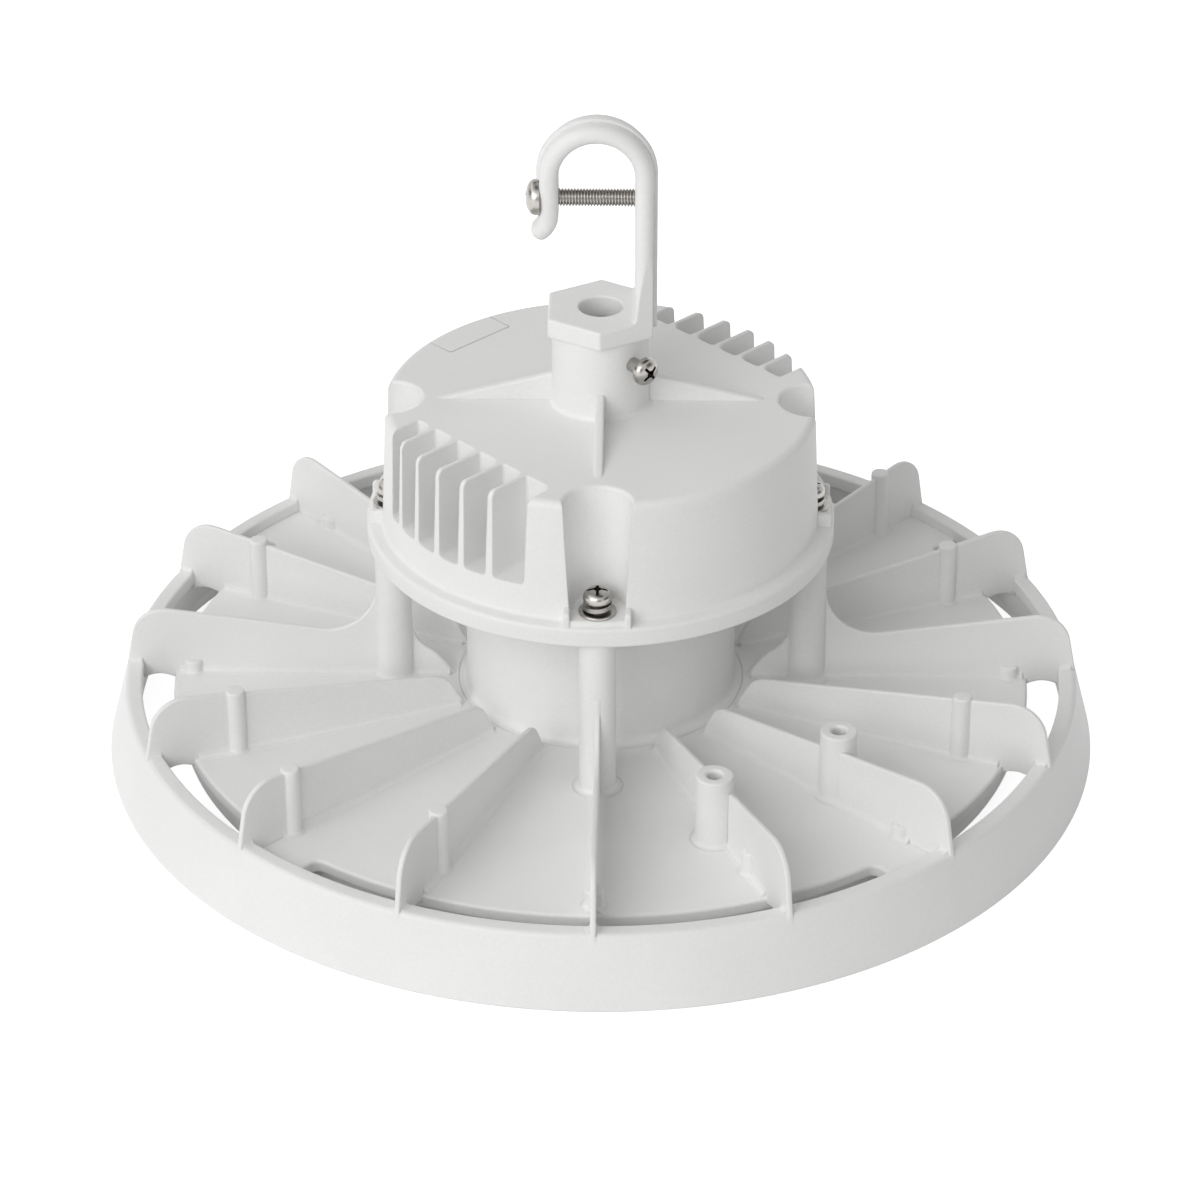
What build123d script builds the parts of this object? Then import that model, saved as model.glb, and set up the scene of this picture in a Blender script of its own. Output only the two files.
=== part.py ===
from build123d import *
import math
import os

os.makedirs("parts", exist_ok=True)

# High bay light, in millimetres. The origin is the centre of the skirt's bottom edge,
# +Z points up towards the hook, the front is -Y and the hook lies in the XZ plane.

# Skirt ring of the heat sink
skirt_r = 170.0          # outer radius at the bottom edge
skirt_height = 25.5
skirt_lean = 6.6         # how far the outer wall leans in over its height
skirt_top_width = 5.6    # width of the flat top
skirt_foot_width = 4.4   # width of the bottom edge
skirt_edge = 2.0         # rounding of the top outer edge
ledge_step = 1.4         # each of the two steps on the inside of the ring
ledge_drop = 1.2         # upper step below the plate's top face
ledge_depth = 7.0        # lower step below the plate's underside

# Plate, neck and pillars of the heat sink
plate_z = 21.6           # top face of the plate
plate_thick = 4.4
slot_width = 10.8        # from the plate's rim to the inside of the ring
neck_r = 46.0
neck_wall = 6.0
neck_fillet = 2.0
deck_z = 80.0            # top of the neck and of the pillars
pillar_r = 6.1
pillar_count = 4

# Radial fins
fin_count = 16
fin_thick = 1.9
fin_inset = 4.3          # from the neck's outside to a fin's inner end
fin_rise = 11.0          # height of the fin at its inner end
fin_peak = 26.4          # height of the fin at its outer end
fin_nose_round = 8.0
fin_root = 3.4           # how far a fin reaches down into the plate and over the slots
nose_run = 6.6           # length of the slope at a fin's inner end
fin_corner_round = 11.5
fin_lean = 4.6           # how far the outer edge leans in from the skirt to the corner
fin_sweep_r = 17.0       # hollow curve from the fin up to a pillar
fin_sweep_height = 37.0
saddle_rise = 13.5       # where the fin meets the pillar on the neck's side
saddle_round = 12.0
fin_arch = 2.2           # rise of the arched lower edge over a slot
fin_lap = 1.5            # how far a fin's solid foot reaches past a slot's two edges
pillar_nose_drop = 2.7   # a fin with a pillar is this much lower at its inner end

# Directions, in degrees from +X
front = -90
back = 90

# Open slots between plate and ring, in degrees from the front on each side
slot_spans = ((22.5, 38), (45, 126.5), (142, 157.5))
end_slot_half = 20       # the slots at the front and at the back reach this far each way
slot_round = 2.5

# Pins and bosses on the fins
pin_r = 3.2
pin_proud = 1.2          # how far a full pin stands above its fin
pin_inset_odd = 15.5     # from the plate's rim to the pin's axis
pin_inset_even = 6.2
pad_height = 4.6
tall_pad_height = 8.6
boss_r = 6.15
boss_hole_r = 2.5
boss_mouth_r = 3.15
boss_height = 24.8
boss_hole_depth = 16.0
boss_inset = 38.0        # from the plate's rim to the boss's axis
boss_middle_angle = -56.25
boss_spread = 13.1       # each boss is this many degrees from the middle angle
full_pins = (3, 5, 6, 7, 9, 11, 13, 14, 15)   # fins counted from the front to the right
low_pads = (0, 2, 4, 8, 10, 12)
tall_pads = (1,)

# Driver housing
flange_height = 6.8
flange_edge = 1.2
housing_height = 49.5
foot_wall = 10.4         # from the lid's rim to the foot of the housing's wall
flange_width = 5.1
housing_lean = 1.5       # how far the wall leans in over its height
pillar_inset = 3.0       # from the foot of the housing's wall to the pillar's axis
housing_edge = 2.8
housing_roof = 4.0
scoop_top_r = 11.2       # the screw scoop is a cone about the screw's axis
scoop_foot_r = 9.3
pad_rise = 2.0           # the screw pad stands this much above the flange
lug_thick = 2.2
lug_rise = 4.8
lug_spacing = 20.0       # between the middles of the two lugs at a screw pad
cooling_slots = 6
cooling_pitch = 10.7
cooling_fin = 2.3
cooling_reach = 19.9     # from the foot of the housing's wall to the slots' inner ends
cooling_floor = 18.0     # height of the slots' floor above the housing's foot
cooling_round = 3.5      # one inner corner of each slot is rounded
cooling_angles = (-135, 45)
stem_r = 16.2
stem_height = 27.7
gusset_thick = 3.0
gusset_height = 9.8
gusset_inset = 17.9      # from the housing's top rim to the end of a gusset
blank_reach = 13.6       # from the housing's top rim to the blank plate's inner edge
blank_length = 27.8
blank_depth = 3.4
blank_angle = 135
joint_gap = 0.15         # gap between pieces that slip into one another
hole_spare = 1.0         # blind holes are this much deeper than their screws

# Hook, with its hexagon and its hollow thread
hex_flats = 34.6
hex_height = 6.8
thread_r = 13.2
thread_length = 16.0
cable_bore_r = 7.25
hook_inner_r = 12.4
hook_bar = 6.3           # thickness of the bar in the plane of the hook
hook_offset = -1.25      # the bend's centre, towards the short leg
hook_rise = 48.5         # the bend's centre above the hexagon's top
hook_depth_foot = 14.8   # half depth of the bar at its root in the hexagon
hook_depth_bend = 7.0
hook_depth_leg = 5.4     # half depth at the end of the short leg
hook_depth_tip = 4.2
hook_root = 4.6          # how far the bar's foot reaches down the hexagon
hook_leg = 14.2          # straight part of the short leg
tip_bend_r = 8.0
tip_bend_angle = 60
tip_steps = 4
rib_rise = 1.2
rib_thick = 3.0
rib_end_drop = 2.0       # the rib stops this far below the bend's centre

# Screws, as head radius, head height, shank radius and length below the head
keeper_drop = 8.8        # closing screw's axis below the bend's centre
keeper_head_r = 6.0
keeper_head_height = 4.8
keeper_r = 3.0
keeper_bite = 4.0        # how far the closing screw goes into the long leg
keeper_sink = 0.2        # depth of the flat seat under the closing screw's head
lock_angle = -49
lock_head_r = 4.75
lock_head_height = 3.7
lock_r = 2.5
lock_rise = 19.3         # lock screw's axis above the housing's top
lock_shank_shown = 5.6   # length of bare thread between the stem and the head
clamp_head_r = 4.75
clamp_head_height = 4.1
clamp_r = 2.5
clamp_bite = 14.0        # how far the clamp screws go into the pillars
flat_washer_r = 6.2
flat_washer_thick = 1.0
spring_washer_r = 4.8
spring_washer_thick = 1.6
spring_washer_free = 3.7  # height of the open washer
spring_washer_turn = 350  # degrees from one end of its coil to the other
washer_bore_r = 2.7
head_side = 0.32         # share of a head's height below its round top
shank_point = 0.3        # length of a shank's pointed end, as a share of its radius

# Closing plate, seals and driver inside the housing
lid_margin = 13.5        # from the housing's cavity to the lid's rim
lid_thick = 3.0
lid_screws = 4
lid_screw_inset = 6.5    # from the lid's rim to its screws
small_head_r = 3.5
small_head_height = 2.4
small_screw_r = 2.0
small_screw_length = 8.0
seal_thick = 1.5
lid_seal_width = 3.85
neck_seal_inset = 0.6    # from the neck's outside to the seal's rim
neck_seal_width = 4.6
driver_r = 48.0
driver_height = 26.0
driver_edge = 3.0
driver_room = 2.0        # free space round the driver
driver_hollow = 8.0      # depth of the hollow that takes the leads and the screws' ends
driver_screws = 3
driver_turn = 30         # direction of the first driver screw
driver_screw_inset = 6.0    # from the neck's bore to the driver's screws
lead_r = 1.1
lead_spacing = 6.0
grommet_r = 9.0
grommet_lip = 1.5
cable_seal_height = 6.0
cable_seal_bore_r = 4.0

# Light source below the plate
board_clearance = 5.0    # between the board and the lens's seal
board_thick = 1.6
chip_size = 5.0
chip_thick = 0.8
chip_counts = (30, 24, 18, 12)   # from the outer ring of chips inwards
chip_inset = 12.0        # from the board's rim to the outer ring of chips
chip_pitch = 23.0        # between two rings of chips
lens_seal_width = 5.0
lens_seal_inset = 2.0    # from the lens's rim to its seal
lens_thick = 2.6
lens_gap = 1.9           # from the board to the inside of the lens
lenslet_r = 8.0
lenslet_height = 3.0
lenslet_sides = 6
lenslet_taper = 38
retainer_inset = 2.5     # from the plate's rim to the retainer's outside
lens_inset = 13.5        # from the retainer's outside to the lens's rim
retainer_lap = 5.0       # how far the retainer reaches under the lens
retainer_thick = 2.4
retainer_wall = 2.4
retainer_boss_r = 3.3
retainer_screws = 12
retainer_screw_inset = 6.0  # from the retainer's outside to its screws
retainer_screw_length = 9.0

# Values worked out from the ones above
plate_under = plate_z - plate_thick
skirt_top_r = skirt_r - skirt_lean
skirt_inner_r = skirt_top_r - skirt_top_width
plate_r = skirt_inner_r - slot_width
boss_ring_r = plate_r - boss_inset
neck_bore_r = neck_r - neck_wall
fin_inner_r = neck_r + fin_inset
flange_top = deck_z + flange_height
housing_top = deck_z + housing_height
pad_z = flange_top + pad_rise
stem_top = housing_top + stem_height
hex_top = stem_top + hex_height
bend_z = hex_top + hook_rise
hook_outer_r = hook_inner_r + hook_bar
hook_mid_r = hook_inner_r + hook_bar / 2
keeper_z = bend_z - keeper_drop
neck_top = deck_z - seal_thick
ledge_low = plate_under - ledge_depth
cavity_r = driver_r + driver_room
lid_r = cavity_r + lid_margin
lid_screw_ring_r = lid_r - lid_screw_inset
housing_foot_r = lid_r + foot_wall
pillar_ring_r = housing_foot_r - pillar_inset
flange_r = housing_foot_r + flange_width
housing_top_r = housing_foot_r - housing_lean
cooling_inner = housing_foot_r - cooling_reach
gusset_reach = housing_top_r - gusset_inset
blank_inner = housing_top_r - blank_reach
lid_seal_inner = cavity_r + joint_gap
neck_seal_outer = neck_r - neck_seal_inset
driver_screw_ring_r = neck_bore_r - driver_screw_inset
cavity_top = housing_top - housing_roof
board_z = plate_under - board_thick
lens_top = board_z - lens_gap
retainer_top = lens_top - lens_thick
retainer_outer_r = plate_r - retainer_inset
retainer_screw_ring_r = retainer_outer_r - retainer_screw_inset
lens_r = retainer_outer_r - lens_inset
retainer_inner_r = lens_r - retainer_lap
lens_seal_outer = lens_r - lens_seal_inset
lens_seal_inner = lens_seal_outer - lens_seal_width
board_r = lens_seal_inner - board_clearance
chip_rings = []
for ring, chips in enumerate(chip_counts):
    chip_rings.append((board_r - chip_inset - ring * chip_pitch, chips))
retainer_turn = 180 / retainer_screws
lid_turn = 180 / lid_screws
lead_window_r = lead_spacing / 2 + lead_r + joint_gap
grommet_waist_r = grommet_r - grommet_lip - joint_gap
keeper_seat_x = hook_offset - hook_outer_r + keeper_sink
keeper_length = 2 * hook_inner_r + hook_bar - keeper_sink + keeper_bite
lock_axis = Vector(1, 0, 0).rotate(Axis.Z, lock_angle)
rib_outer_r = hook_outer_r + rib_rise


def fin_slope():
    """Rise of a fin's top edge for each millimetre outwards."""
    return (fin_peak - fin_rise) / (skirt_top_r - fin_inner_r)


def fin_top(r):
    """Height of a fin's top edge at a radius."""
    return plate_z + fin_rise + fin_slope() * (r - fin_inner_r)


def skirt_outer(z):
    """Radius of the skirt's outer wall at a height."""
    return skirt_r - skirt_lean * z / skirt_height


def fin_outline(with_pillar):
    """Side view of a fin: a plain one, or one that sweeps up to a pillar."""
    foot_z = skirt_height - skirt_edge
    foot_r = skirt_outer(foot_z)
    corner_r = foot_r - fin_lean
    root_z = plate_z - fin_root
    bridge = (plate_r - fin_lap, skirt_inner_r + fin_lap)
    outer_end = [(bridge[1], root_z), (foot_r, root_z), (foot_r, foot_z)]
    corner = (corner_r, fin_top(corner_r))
    if with_pillar:
        outer_side = pillar_ring_r + pillar_r
        inner_side = pillar_ring_r - pillar_r
        sweep = (outer_side, fin_top(outer_side))
        saddle = (inner_side, plate_z + saddle_rise)
        nose = (fin_inner_r + nose_run, plate_z + fin_rise - pillar_nose_drop)
        top_z = plate_z + fin_sweep_height
        middle = [corner, sweep, (outer_side, top_z), (inner_side, top_z), saddle, nose]
        rounds = [(corner, fin_corner_round), (sweep, fin_sweep_r), (saddle, saddle_round)]
    else:
        nose = (fin_inner_r + nose_run, fin_top(fin_inner_r + nose_run))
        middle = [corner, nose]
        rounds = [(corner, fin_corner_round)]
    rounds.append((nose, fin_nose_round))
    inner_end = [(fin_inner_r, plate_z), (fin_inner_r, root_z), (bridge[0], root_z)]
    with BuildSketch() as outline:
        with BuildLine():
            Polyline(*outer_end, *middle, *inner_end)
            ThreePointArc(inner_end[-1], (sum(bridge) / 2, root_z + fin_arch), outer_end[0])
        make_face()
        for point, radius in rounds:
            fillet(outline.vertices().sort_by_distance(point)[0], radius)
    return outline.sketch


def fin_angle(number):
    """Direction of a fin, in degrees from +X."""
    return front + number * 360 / fin_count


def pin_ring(number):
    """Radius at which the pin on a fin stands."""
    return plate_r - (pin_inset_odd if number % 2 else pin_inset_even)


def slot_outline(start, end):
    """One open slot between plate and ring, from above."""
    with BuildSketch() as outline:
        with BuildLine():
            inner = CenterArc((0, 0), plate_r, start, end - start)
            outer = CenterArc((0, 0), skirt_inner_r + ledge_step, start, end - start)
            Line(inner @ 0, outer @ 0)
            Line(inner @ 1, outer @ 1)
        make_face()
        fillet(outline.vertices(), slot_round)
    return outline.sketch


# Side views of the two kinds of fin
plain_fin = fin_outline(with_pillar=False)
pillar_fin = fin_outline(with_pillar=True)

# Slots at the front and the back, then the others on both sides
slot_faces = []
for middle in (front, back):
    slot_faces.append(slot_outline(middle - end_slot_half, middle + end_slot_half))
for start, end in slot_spans:
    slot_faces.append(slot_outline(front + start, front + end))
    slot_faces.append(slot_outline(front - end, front - start))

# Heat sink: ring, plate, fins, neck, pillars, pins and bosses in one casting
with BuildPart() as heat_sink:
    with BuildSketch(Plane.XZ) as ring_section:
        with BuildLine():
            Polyline(
                (skirt_r - skirt_foot_width, 0),
                (skirt_r, 0),
                (skirt_top_r, skirt_height),
                (skirt_inner_r, skirt_height),
                (skirt_inner_r, plate_z - ledge_drop),
                (skirt_inner_r + ledge_step, plate_z - ledge_drop),
                (skirt_inner_r + ledge_step, ledge_low),
                (skirt_inner_r + 2 * ledge_step, ledge_low),
                close=True,
            )
        make_face()
        outer_corner = ring_section.vertices().sort_by_distance((skirt_top_r, skirt_height))[0]
        fillet(outer_corner, skirt_edge)
    revolve(axis=Axis.Z)
    with BuildSketch(Plane.XY.offset(plate_under)):
        Circle(skirt_inner_r + ledge_step)
    extrude(amount=plate_thick)
    with BuildSketch(Plane.XY.offset(plate_under)):
        add(slot_faces)
    extrude(amount=plate_thick, mode=Mode.SUBTRACT)
    with BuildSketch(Plane.XZ):
        with BuildLine():
            Polyline(
                (neck_r + neck_fillet, plate_z),
                (neck_r + neck_fillet, plate_under),
                (neck_bore_r, plate_under),
                (neck_bore_r, neck_top),
                (neck_r, neck_top),
                (neck_r, plate_z + neck_fillet),
            )
            RadiusArc((neck_r, plate_z + neck_fillet), (neck_r + neck_fillet, plate_z), neck_fillet)
        make_face()
    revolve(axis=Axis.Z)
    for number in range(fin_count):
        on_pillar = number % (fin_count // pillar_count) == 0
        fin_plane = Plane.XZ.rotated((0, 0, fin_angle(number)))
        with BuildSketch(fin_plane):
            add(pillar_fin if on_pillar else plain_fin)
        extrude(amount=fin_thick / 2, both=True)
    with BuildSketch(Plane.XY.offset(plate_under)):
        with PolarLocations(pillar_ring_r, pillar_count):
            Circle(pillar_r)
    extrude(amount=deck_z - plate_under)
    for number in full_pins + low_pads + tall_pads:
        ring_r = pin_ring(number)
        if number in full_pins:
            top_z = fin_top(ring_r) + pin_proud
        else:
            top_z = plate_z + (tall_pad_height if number in tall_pads else pad_height)
        with BuildSketch(Plane.XY.offset(plate_under)):
            with PolarLocations(ring_r, 1, start_angle=fin_angle(number)):
                Circle(pin_r)
        extrude(amount=top_z - plate_under)
    for side in (-1, 1):
        angle = boss_middle_angle + side * boss_spread
        boss_top = Plane.XY.offset(plate_z + boss_height)
        with BuildSketch(boss_top):
            with PolarLocations(boss_ring_r, 1, start_angle=angle):
                Circle(boss_r)
        extrude(amount=-boss_height - plate_thick)
        with BuildSketch(boss_top):
            with PolarLocations(boss_ring_r, 1, start_angle=angle):
                Circle(boss_hole_r)
        extrude(amount=-boss_hole_depth, mode=Mode.SUBTRACT)
        mouth = boss_mouth_r - boss_hole_r
        with BuildSketch(boss_top):
            with PolarLocations(boss_ring_r, 1, start_angle=angle):
                Circle(boss_mouth_r)
        extrude(amount=-mouth, taper=44, mode=Mode.SUBTRACT)
    with BuildSketch(Plane.XY.offset(deck_z)):
        with PolarLocations(pillar_ring_r, pillar_count):
            Circle(clamp_r + joint_gap)
    extrude(amount=-clamp_bite - hole_spare, mode=Mode.SUBTRACT)
    with BuildSketch(Plane.XY.offset(retainer_top)):
        with PolarLocations(retainer_screw_ring_r, retainer_screws, start_angle=retainer_turn):
            Circle(retainer_boss_r)
    extrude(amount=plate_under - retainer_top)
    with BuildSketch(Plane.XY.offset(retainer_top)):
        with PolarLocations(retainer_screw_ring_r, retainer_screws, start_angle=retainer_turn):
            Circle(small_screw_r + joint_gap)
    extrude(amount=retainer_screw_length - retainer_thick + hole_spare, mode=Mode.SUBTRACT)
    with BuildSketch(Plane.XY.offset(plate_under)):
        Circle(grommet_r - grommet_lip)
    extrude(amount=plate_thick, mode=Mode.SUBTRACT)
    with BuildSketch(Plane.XY.offset(plate_under)):
        Circle(grommet_r + joint_gap)
    extrude(amount=grommet_lip, mode=Mode.SUBTRACT)

heat_sink.part.label = "heat_sink"
export_step(heat_sink.part, "parts/heat_sink.step")


def housing_outline():
    """Half section of the housing's outside, from the side."""
    top_corner = (housing_top_r, housing_top)
    flange_corner = (flange_r, flange_top)
    with BuildSketch() as outline:
        with BuildLine():
            Polyline(
                (0, deck_z),
                (flange_r, deck_z),
                flange_corner,
                (housing_foot_r, flange_top),
                top_corner,
                (0, housing_top),
                close=True,
            )
        make_face()
        fillet(outline.vertices().sort_by_distance(top_corner)[0], housing_edge)
        fillet(outline.vertices().sort_by_distance(flange_corner)[0], flange_edge)
    return outline.sketch


def quarter_plane(number, height):
    """Level plane turned so that its +X points at one of the four pillars."""
    return Plane.XY.offset(height).rotated((0, 0, number * 360 / pillar_count))


housing_half = housing_outline()

# Driver housing: flange, wall, roof, stem, screw scoops and cooling slots in one casting
with BuildPart() as driver_housing:
    with BuildSketch(Plane.XZ):
        add(housing_half)
    revolve(axis=Axis.Z)
    lug_reach = 2 * (flange_r - housing_foot_r)
    for number in range(pillar_count):
        with BuildSketch(quarter_plane(number, deck_z)):
            with Locations((housing_foot_r, 0)):
                Rectangle(lug_reach, lug_spacing)
            Circle(flange_r - flange_edge, mode=Mode.INTERSECT)
        extrude(amount=flange_height + pad_rise)
        with BuildSketch(quarter_plane(number, deck_z)):
            with Locations((housing_foot_r, -lug_spacing / 2), (housing_foot_r, lug_spacing / 2)):
                Rectangle(lug_reach, lug_thick)
            Circle(flange_r - flange_edge / 2, mode=Mode.INTERSECT)
        extrude(amount=flange_height + lug_rise)
    with BuildSketch(Plane.XY.offset(cavity_top)):
        Circle(stem_r)
    extrude(amount=stem_top - cavity_top)
    for number in range(pillar_count):
        with BuildSketch(Plane.XZ.rotated((0, 0, number * 360 / pillar_count))):
            with BuildLine():
                Polyline(
                    (thread_r, cavity_top),
                    (gusset_reach, cavity_top),
                    (gusset_reach, housing_top),
                    (stem_r, housing_top + gusset_height),
                    (thread_r, housing_top + gusset_height),
                    close=True,
                )
            make_face()
        extrude(amount=gusset_thick / 2, both=True)
    scoop_draft = math.degrees(math.atan((scoop_top_r - scoop_foot_r) / (housing_top - pad_z)))
    with BuildSketch(Plane.XY.offset(pad_z)):
        with PolarLocations(pillar_ring_r, pillar_count):
            Circle(scoop_foot_r)
    extrude(amount=housing_top - pad_z, taper=-scoop_draft, mode=Mode.SUBTRACT)
    for angle in cooling_angles:
        cut_plane = Plane.XY.offset(deck_z + cooling_floor).rotated((0, 0, angle))
        cooling_gap = cooling_pitch - cooling_fin
        slot_reach = flange_r - cooling_inner
        with BuildSketch(cut_plane) as cooling_cut:
            with Locations((cooling_inner + slot_reach / 2, 0)):
                with GridLocations(slot_reach, cooling_pitch, 1, cooling_slots):
                    Rectangle(slot_reach, cooling_gap)
            blunt = cooling_cut.vertices().group_by(Axis.X)[0].sort_by(Axis.Y)[1::2]
            fillet(blunt, cooling_round)
        extrude(amount=housing_height, mode=Mode.SUBTRACT)
    with BuildSketch(Plane.XY.offset(housing_top - blank_depth).rotated((0, 0, blank_angle))):
        with Locations((blank_inner + flange_r / 2, 0)):
            Rectangle(flange_r, blank_length)
    extrude(amount=blank_depth, mode=Mode.SUBTRACT)
    with BuildSketch(Plane.XY.offset(stem_top)):
        Circle(thread_r + joint_gap)
    extrude(amount=-thread_length - cable_seal_height, mode=Mode.SUBTRACT)
    with BuildSketch(Plane.XY.offset(stem_top)):
        Circle(cable_bore_r)
    extrude(amount=cavity_top - stem_top, mode=Mode.SUBTRACT)
    with BuildSketch(Plane.XY.offset(deck_z)):
        Circle(cavity_r)
    extrude(amount=cavity_top - deck_z, mode=Mode.SUBTRACT)
    with BuildSketch(Plane.XY.offset(deck_z)):
        Circle(lid_r + joint_gap)
    extrude(amount=lid_thick + seal_thick, mode=Mode.SUBTRACT)
    with BuildSketch(Plane.XY.offset(deck_z)):
        with PolarLocations(pillar_ring_r, pillar_count):
            Circle(clamp_r + joint_gap)
        with PolarLocations(lid_screw_ring_r, lid_screws, start_angle=lid_turn):
            Circle(small_screw_r + joint_gap)
    extrude(amount=small_screw_length + hole_spare, mode=Mode.SUBTRACT)
    lock_plane = Plane(
        origin=(0, 0, housing_top + lock_rise), x_dir=(0, 0, 1), z_dir=lock_axis
    )
    with BuildSketch(lock_plane):
        Circle(lock_r + joint_gap)
    extrude(amount=stem_r, mode=Mode.SUBTRACT)
driver_housing.part.label = "driver_housing"
export_step(driver_housing.part, "parts/driver_housing.step")

# Blank plate let into the housing's top, flush with the top and the wall
with BuildPart() as top_blank_plate:
    with BuildSketch(Plane.XZ):
        add(housing_half)
    revolve(axis=Axis.Z)
    with BuildSketch(
        Plane.XY.offset(housing_top - blank_depth + joint_gap).rotated((0, 0, blank_angle))
    ):
        with Locations((blank_inner + joint_gap + flange_r / 2, 0)):
            Rectangle(flange_r, blank_length - 2 * joint_gap)
    extrude(amount=blank_depth, mode=Mode.INTERSECT)

top_blank_plate.part.label = "top_blank_plate"
export_step(top_blank_plate.part, "parts/top_blank_plate.step")


def across_bar(x, z, turn=0):
    """Plane square to the hook's bar at a point of its path."""
    along = (-math.sin(math.radians(turn)), 0, math.cos(math.radians(turn)))
    return Plane(origin=(x, 0, z), x_dir=(0, 1, 0), z_dir=along)


# Hook: bent bar with its rib, hexagon and hollow thread in one casting
long_leg_x = hook_offset + hook_mid_r
short_leg_x = hook_offset - hook_mid_r
leg_end_z = bend_z - hook_leg
half_bar = hook_bar / 2
with BuildPart() as hook:
    with BuildSketch(across_bar(long_leg_x, hex_top - hook_root)):
        Ellipse(hook_depth_foot, half_bar)
    with BuildSketch(across_bar(long_leg_x, bend_z)):
        Ellipse(hook_depth_bend, half_bar)
    loft()
    with BuildSketch(Plane.XY.offset(hex_top - hook_root)):
        RegularPolygon(hex_flats / 2, 6, major_radius=False, rotation=30)
    extrude(amount=hook_rise + hook_root, mode=Mode.INTERSECT)
    with BuildSketch(across_bar(long_leg_x, bend_z)):
        Ellipse(hook_depth_bend, half_bar)
    revolve(axis=Axis((hook_offset, 0, bend_z), (0, -1, 0)), revolution_arc=180)
    with BuildSketch(across_bar(short_leg_x, bend_z)):
        Ellipse(hook_depth_bend, half_bar)
    with BuildSketch(across_bar(short_leg_x, leg_end_z)):
        Ellipse(hook_depth_leg, half_bar)
    loft()
    for step in range(tip_steps + 1):
        share = step / tip_steps
        turn = math.radians(tip_bend_angle * share)
        tip_x = short_leg_x - tip_bend_r + tip_bend_r * math.cos(turn)
        tip_z = leg_end_z - tip_bend_r * math.sin(turn)
        with BuildSketch(across_bar(tip_x, tip_z, -math.degrees(turn))):
            Ellipse(hook_depth_leg + (hook_depth_tip - hook_depth_leg) * share, half_bar)
    loft()
    with BuildSketch(Plane.XZ):
        with BuildLine():
            Polyline(
                (hook_offset + rib_outer_r, bend_z),
                (hook_offset + rib_outer_r, stem_top),
                (long_leg_x, stem_top),
                (long_leg_x, bend_z),
            )
            CenterArc((hook_offset, bend_z), hook_mid_r, 0, 180)
            Polyline(
                (short_leg_x, bend_z),
                (short_leg_x, bend_z - rib_end_drop),
                (hook_offset - rib_outer_r, bend_z - rib_end_drop),
                (hook_offset - rib_outer_r, bend_z),
            )
            CenterArc((hook_offset, bend_z), rib_outer_r, 0, 180)
        make_face()
    extrude(amount=rib_thick / 2, both=True)
    with BuildSketch(Plane.XY.offset(stem_top)):
        RegularPolygon(hex_flats / 2, 6, major_radius=False, rotation=30)
    extrude(amount=hex_height)
    with BuildSketch(Plane.XY.offset(stem_top - thread_length)):
        Circle(thread_r)
    extrude(amount=thread_length)
    with BuildSketch(Plane.XY.offset(stem_top - thread_length)):
        Circle(cable_bore_r)
    extrude(amount=thread_length + hex_height, mode=Mode.SUBTRACT)
    with BuildSketch(Plane.YZ.offset(keeper_seat_x)):
        with Locations((0, keeper_z)):
            Circle(keeper_head_r + 2 * joint_gap)
    extrude(amount=-hook_bar, mode=Mode.SUBTRACT)
    with BuildSketch(Plane.YZ.offset(keeper_seat_x)):
        with Locations((0, keeper_z)):
            Circle(keeper_r + joint_gap)
    extrude(amount=keeper_length + joint_gap, mode=Mode.SUBTRACT)

hook.part.label = "hook"
export_step(hook.part, "parts/hook.step")


def pan_head_screw(seat, outward, head_r, head_height, shank_r, length):
    """Pan head screw with its head's underside at a seat and its head pointing outward."""
    axis = Vector(outward).normalized()
    side = Vector(0, 1, 0) if abs(axis.Z) > 0.5 else Vector(0, 0, 1)
    with BuildPart() as screw:
        with BuildSketch(Plane(origin=seat, x_dir=side, z_dir=side.cross(axis))):
            with BuildLine():
                Polyline(
                    (0, -length),
                    (shank_r * (1 - shank_point), -length),
                    (shank_r, -length + shank_r * shank_point),
                    (shank_r, 0),
                    (head_r, 0),
                    (head_r, head_height * head_side),
                )
                TangentArc((0, head_height), (head_r, head_height * head_side), tangent=(1, 0))
                Line((0, head_height), (0, -length))
            make_face()
        revolve(axis=Axis(seat, axis))
    return screw.part


def ring_spots(ring_r, count, turn, height):
    """Points spread evenly round the main axis at a height."""
    spots = []
    for number in range(count):
        angle = math.radians(turn + number * 360 / count)
        spots.append((ring_r * math.cos(angle), ring_r * math.sin(angle), height))
    return spots


def screws_from_below(seats, length):
    """Small screws that are driven upwards at a list of seats."""
    screws = []
    for seat in seats:
        screws.append(pan_head_screw(
            seat, (0, 0, -1), small_head_r, small_head_height, small_screw_r, length
        ))
    return screws


# Closing screw across the mouth of the hook
hook_screw = pan_head_screw(
    (keeper_seat_x, 0, keeper_z), (-1, 0, 0), keeper_head_r, keeper_head_height, keeper_r,
    keeper_length,
)
hook_screw.label = "hook_screw"
export_step(hook_screw, "parts/hook_screw.step")

# Lock screw that stops the hook from turning in the stem
lock_seat = lock_axis * (stem_r + lock_shank_shown) + Vector(0, 0, housing_top + lock_rise)
lock_screw = pan_head_screw(
    lock_seat, lock_axis, lock_head_r, lock_head_height, lock_r,
    stem_r + lock_shank_shown - thread_r - joint_gap,
)
lock_screw.label = "lock_screw"
export_step(lock_screw, "parts/lock_screw.step")

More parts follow.
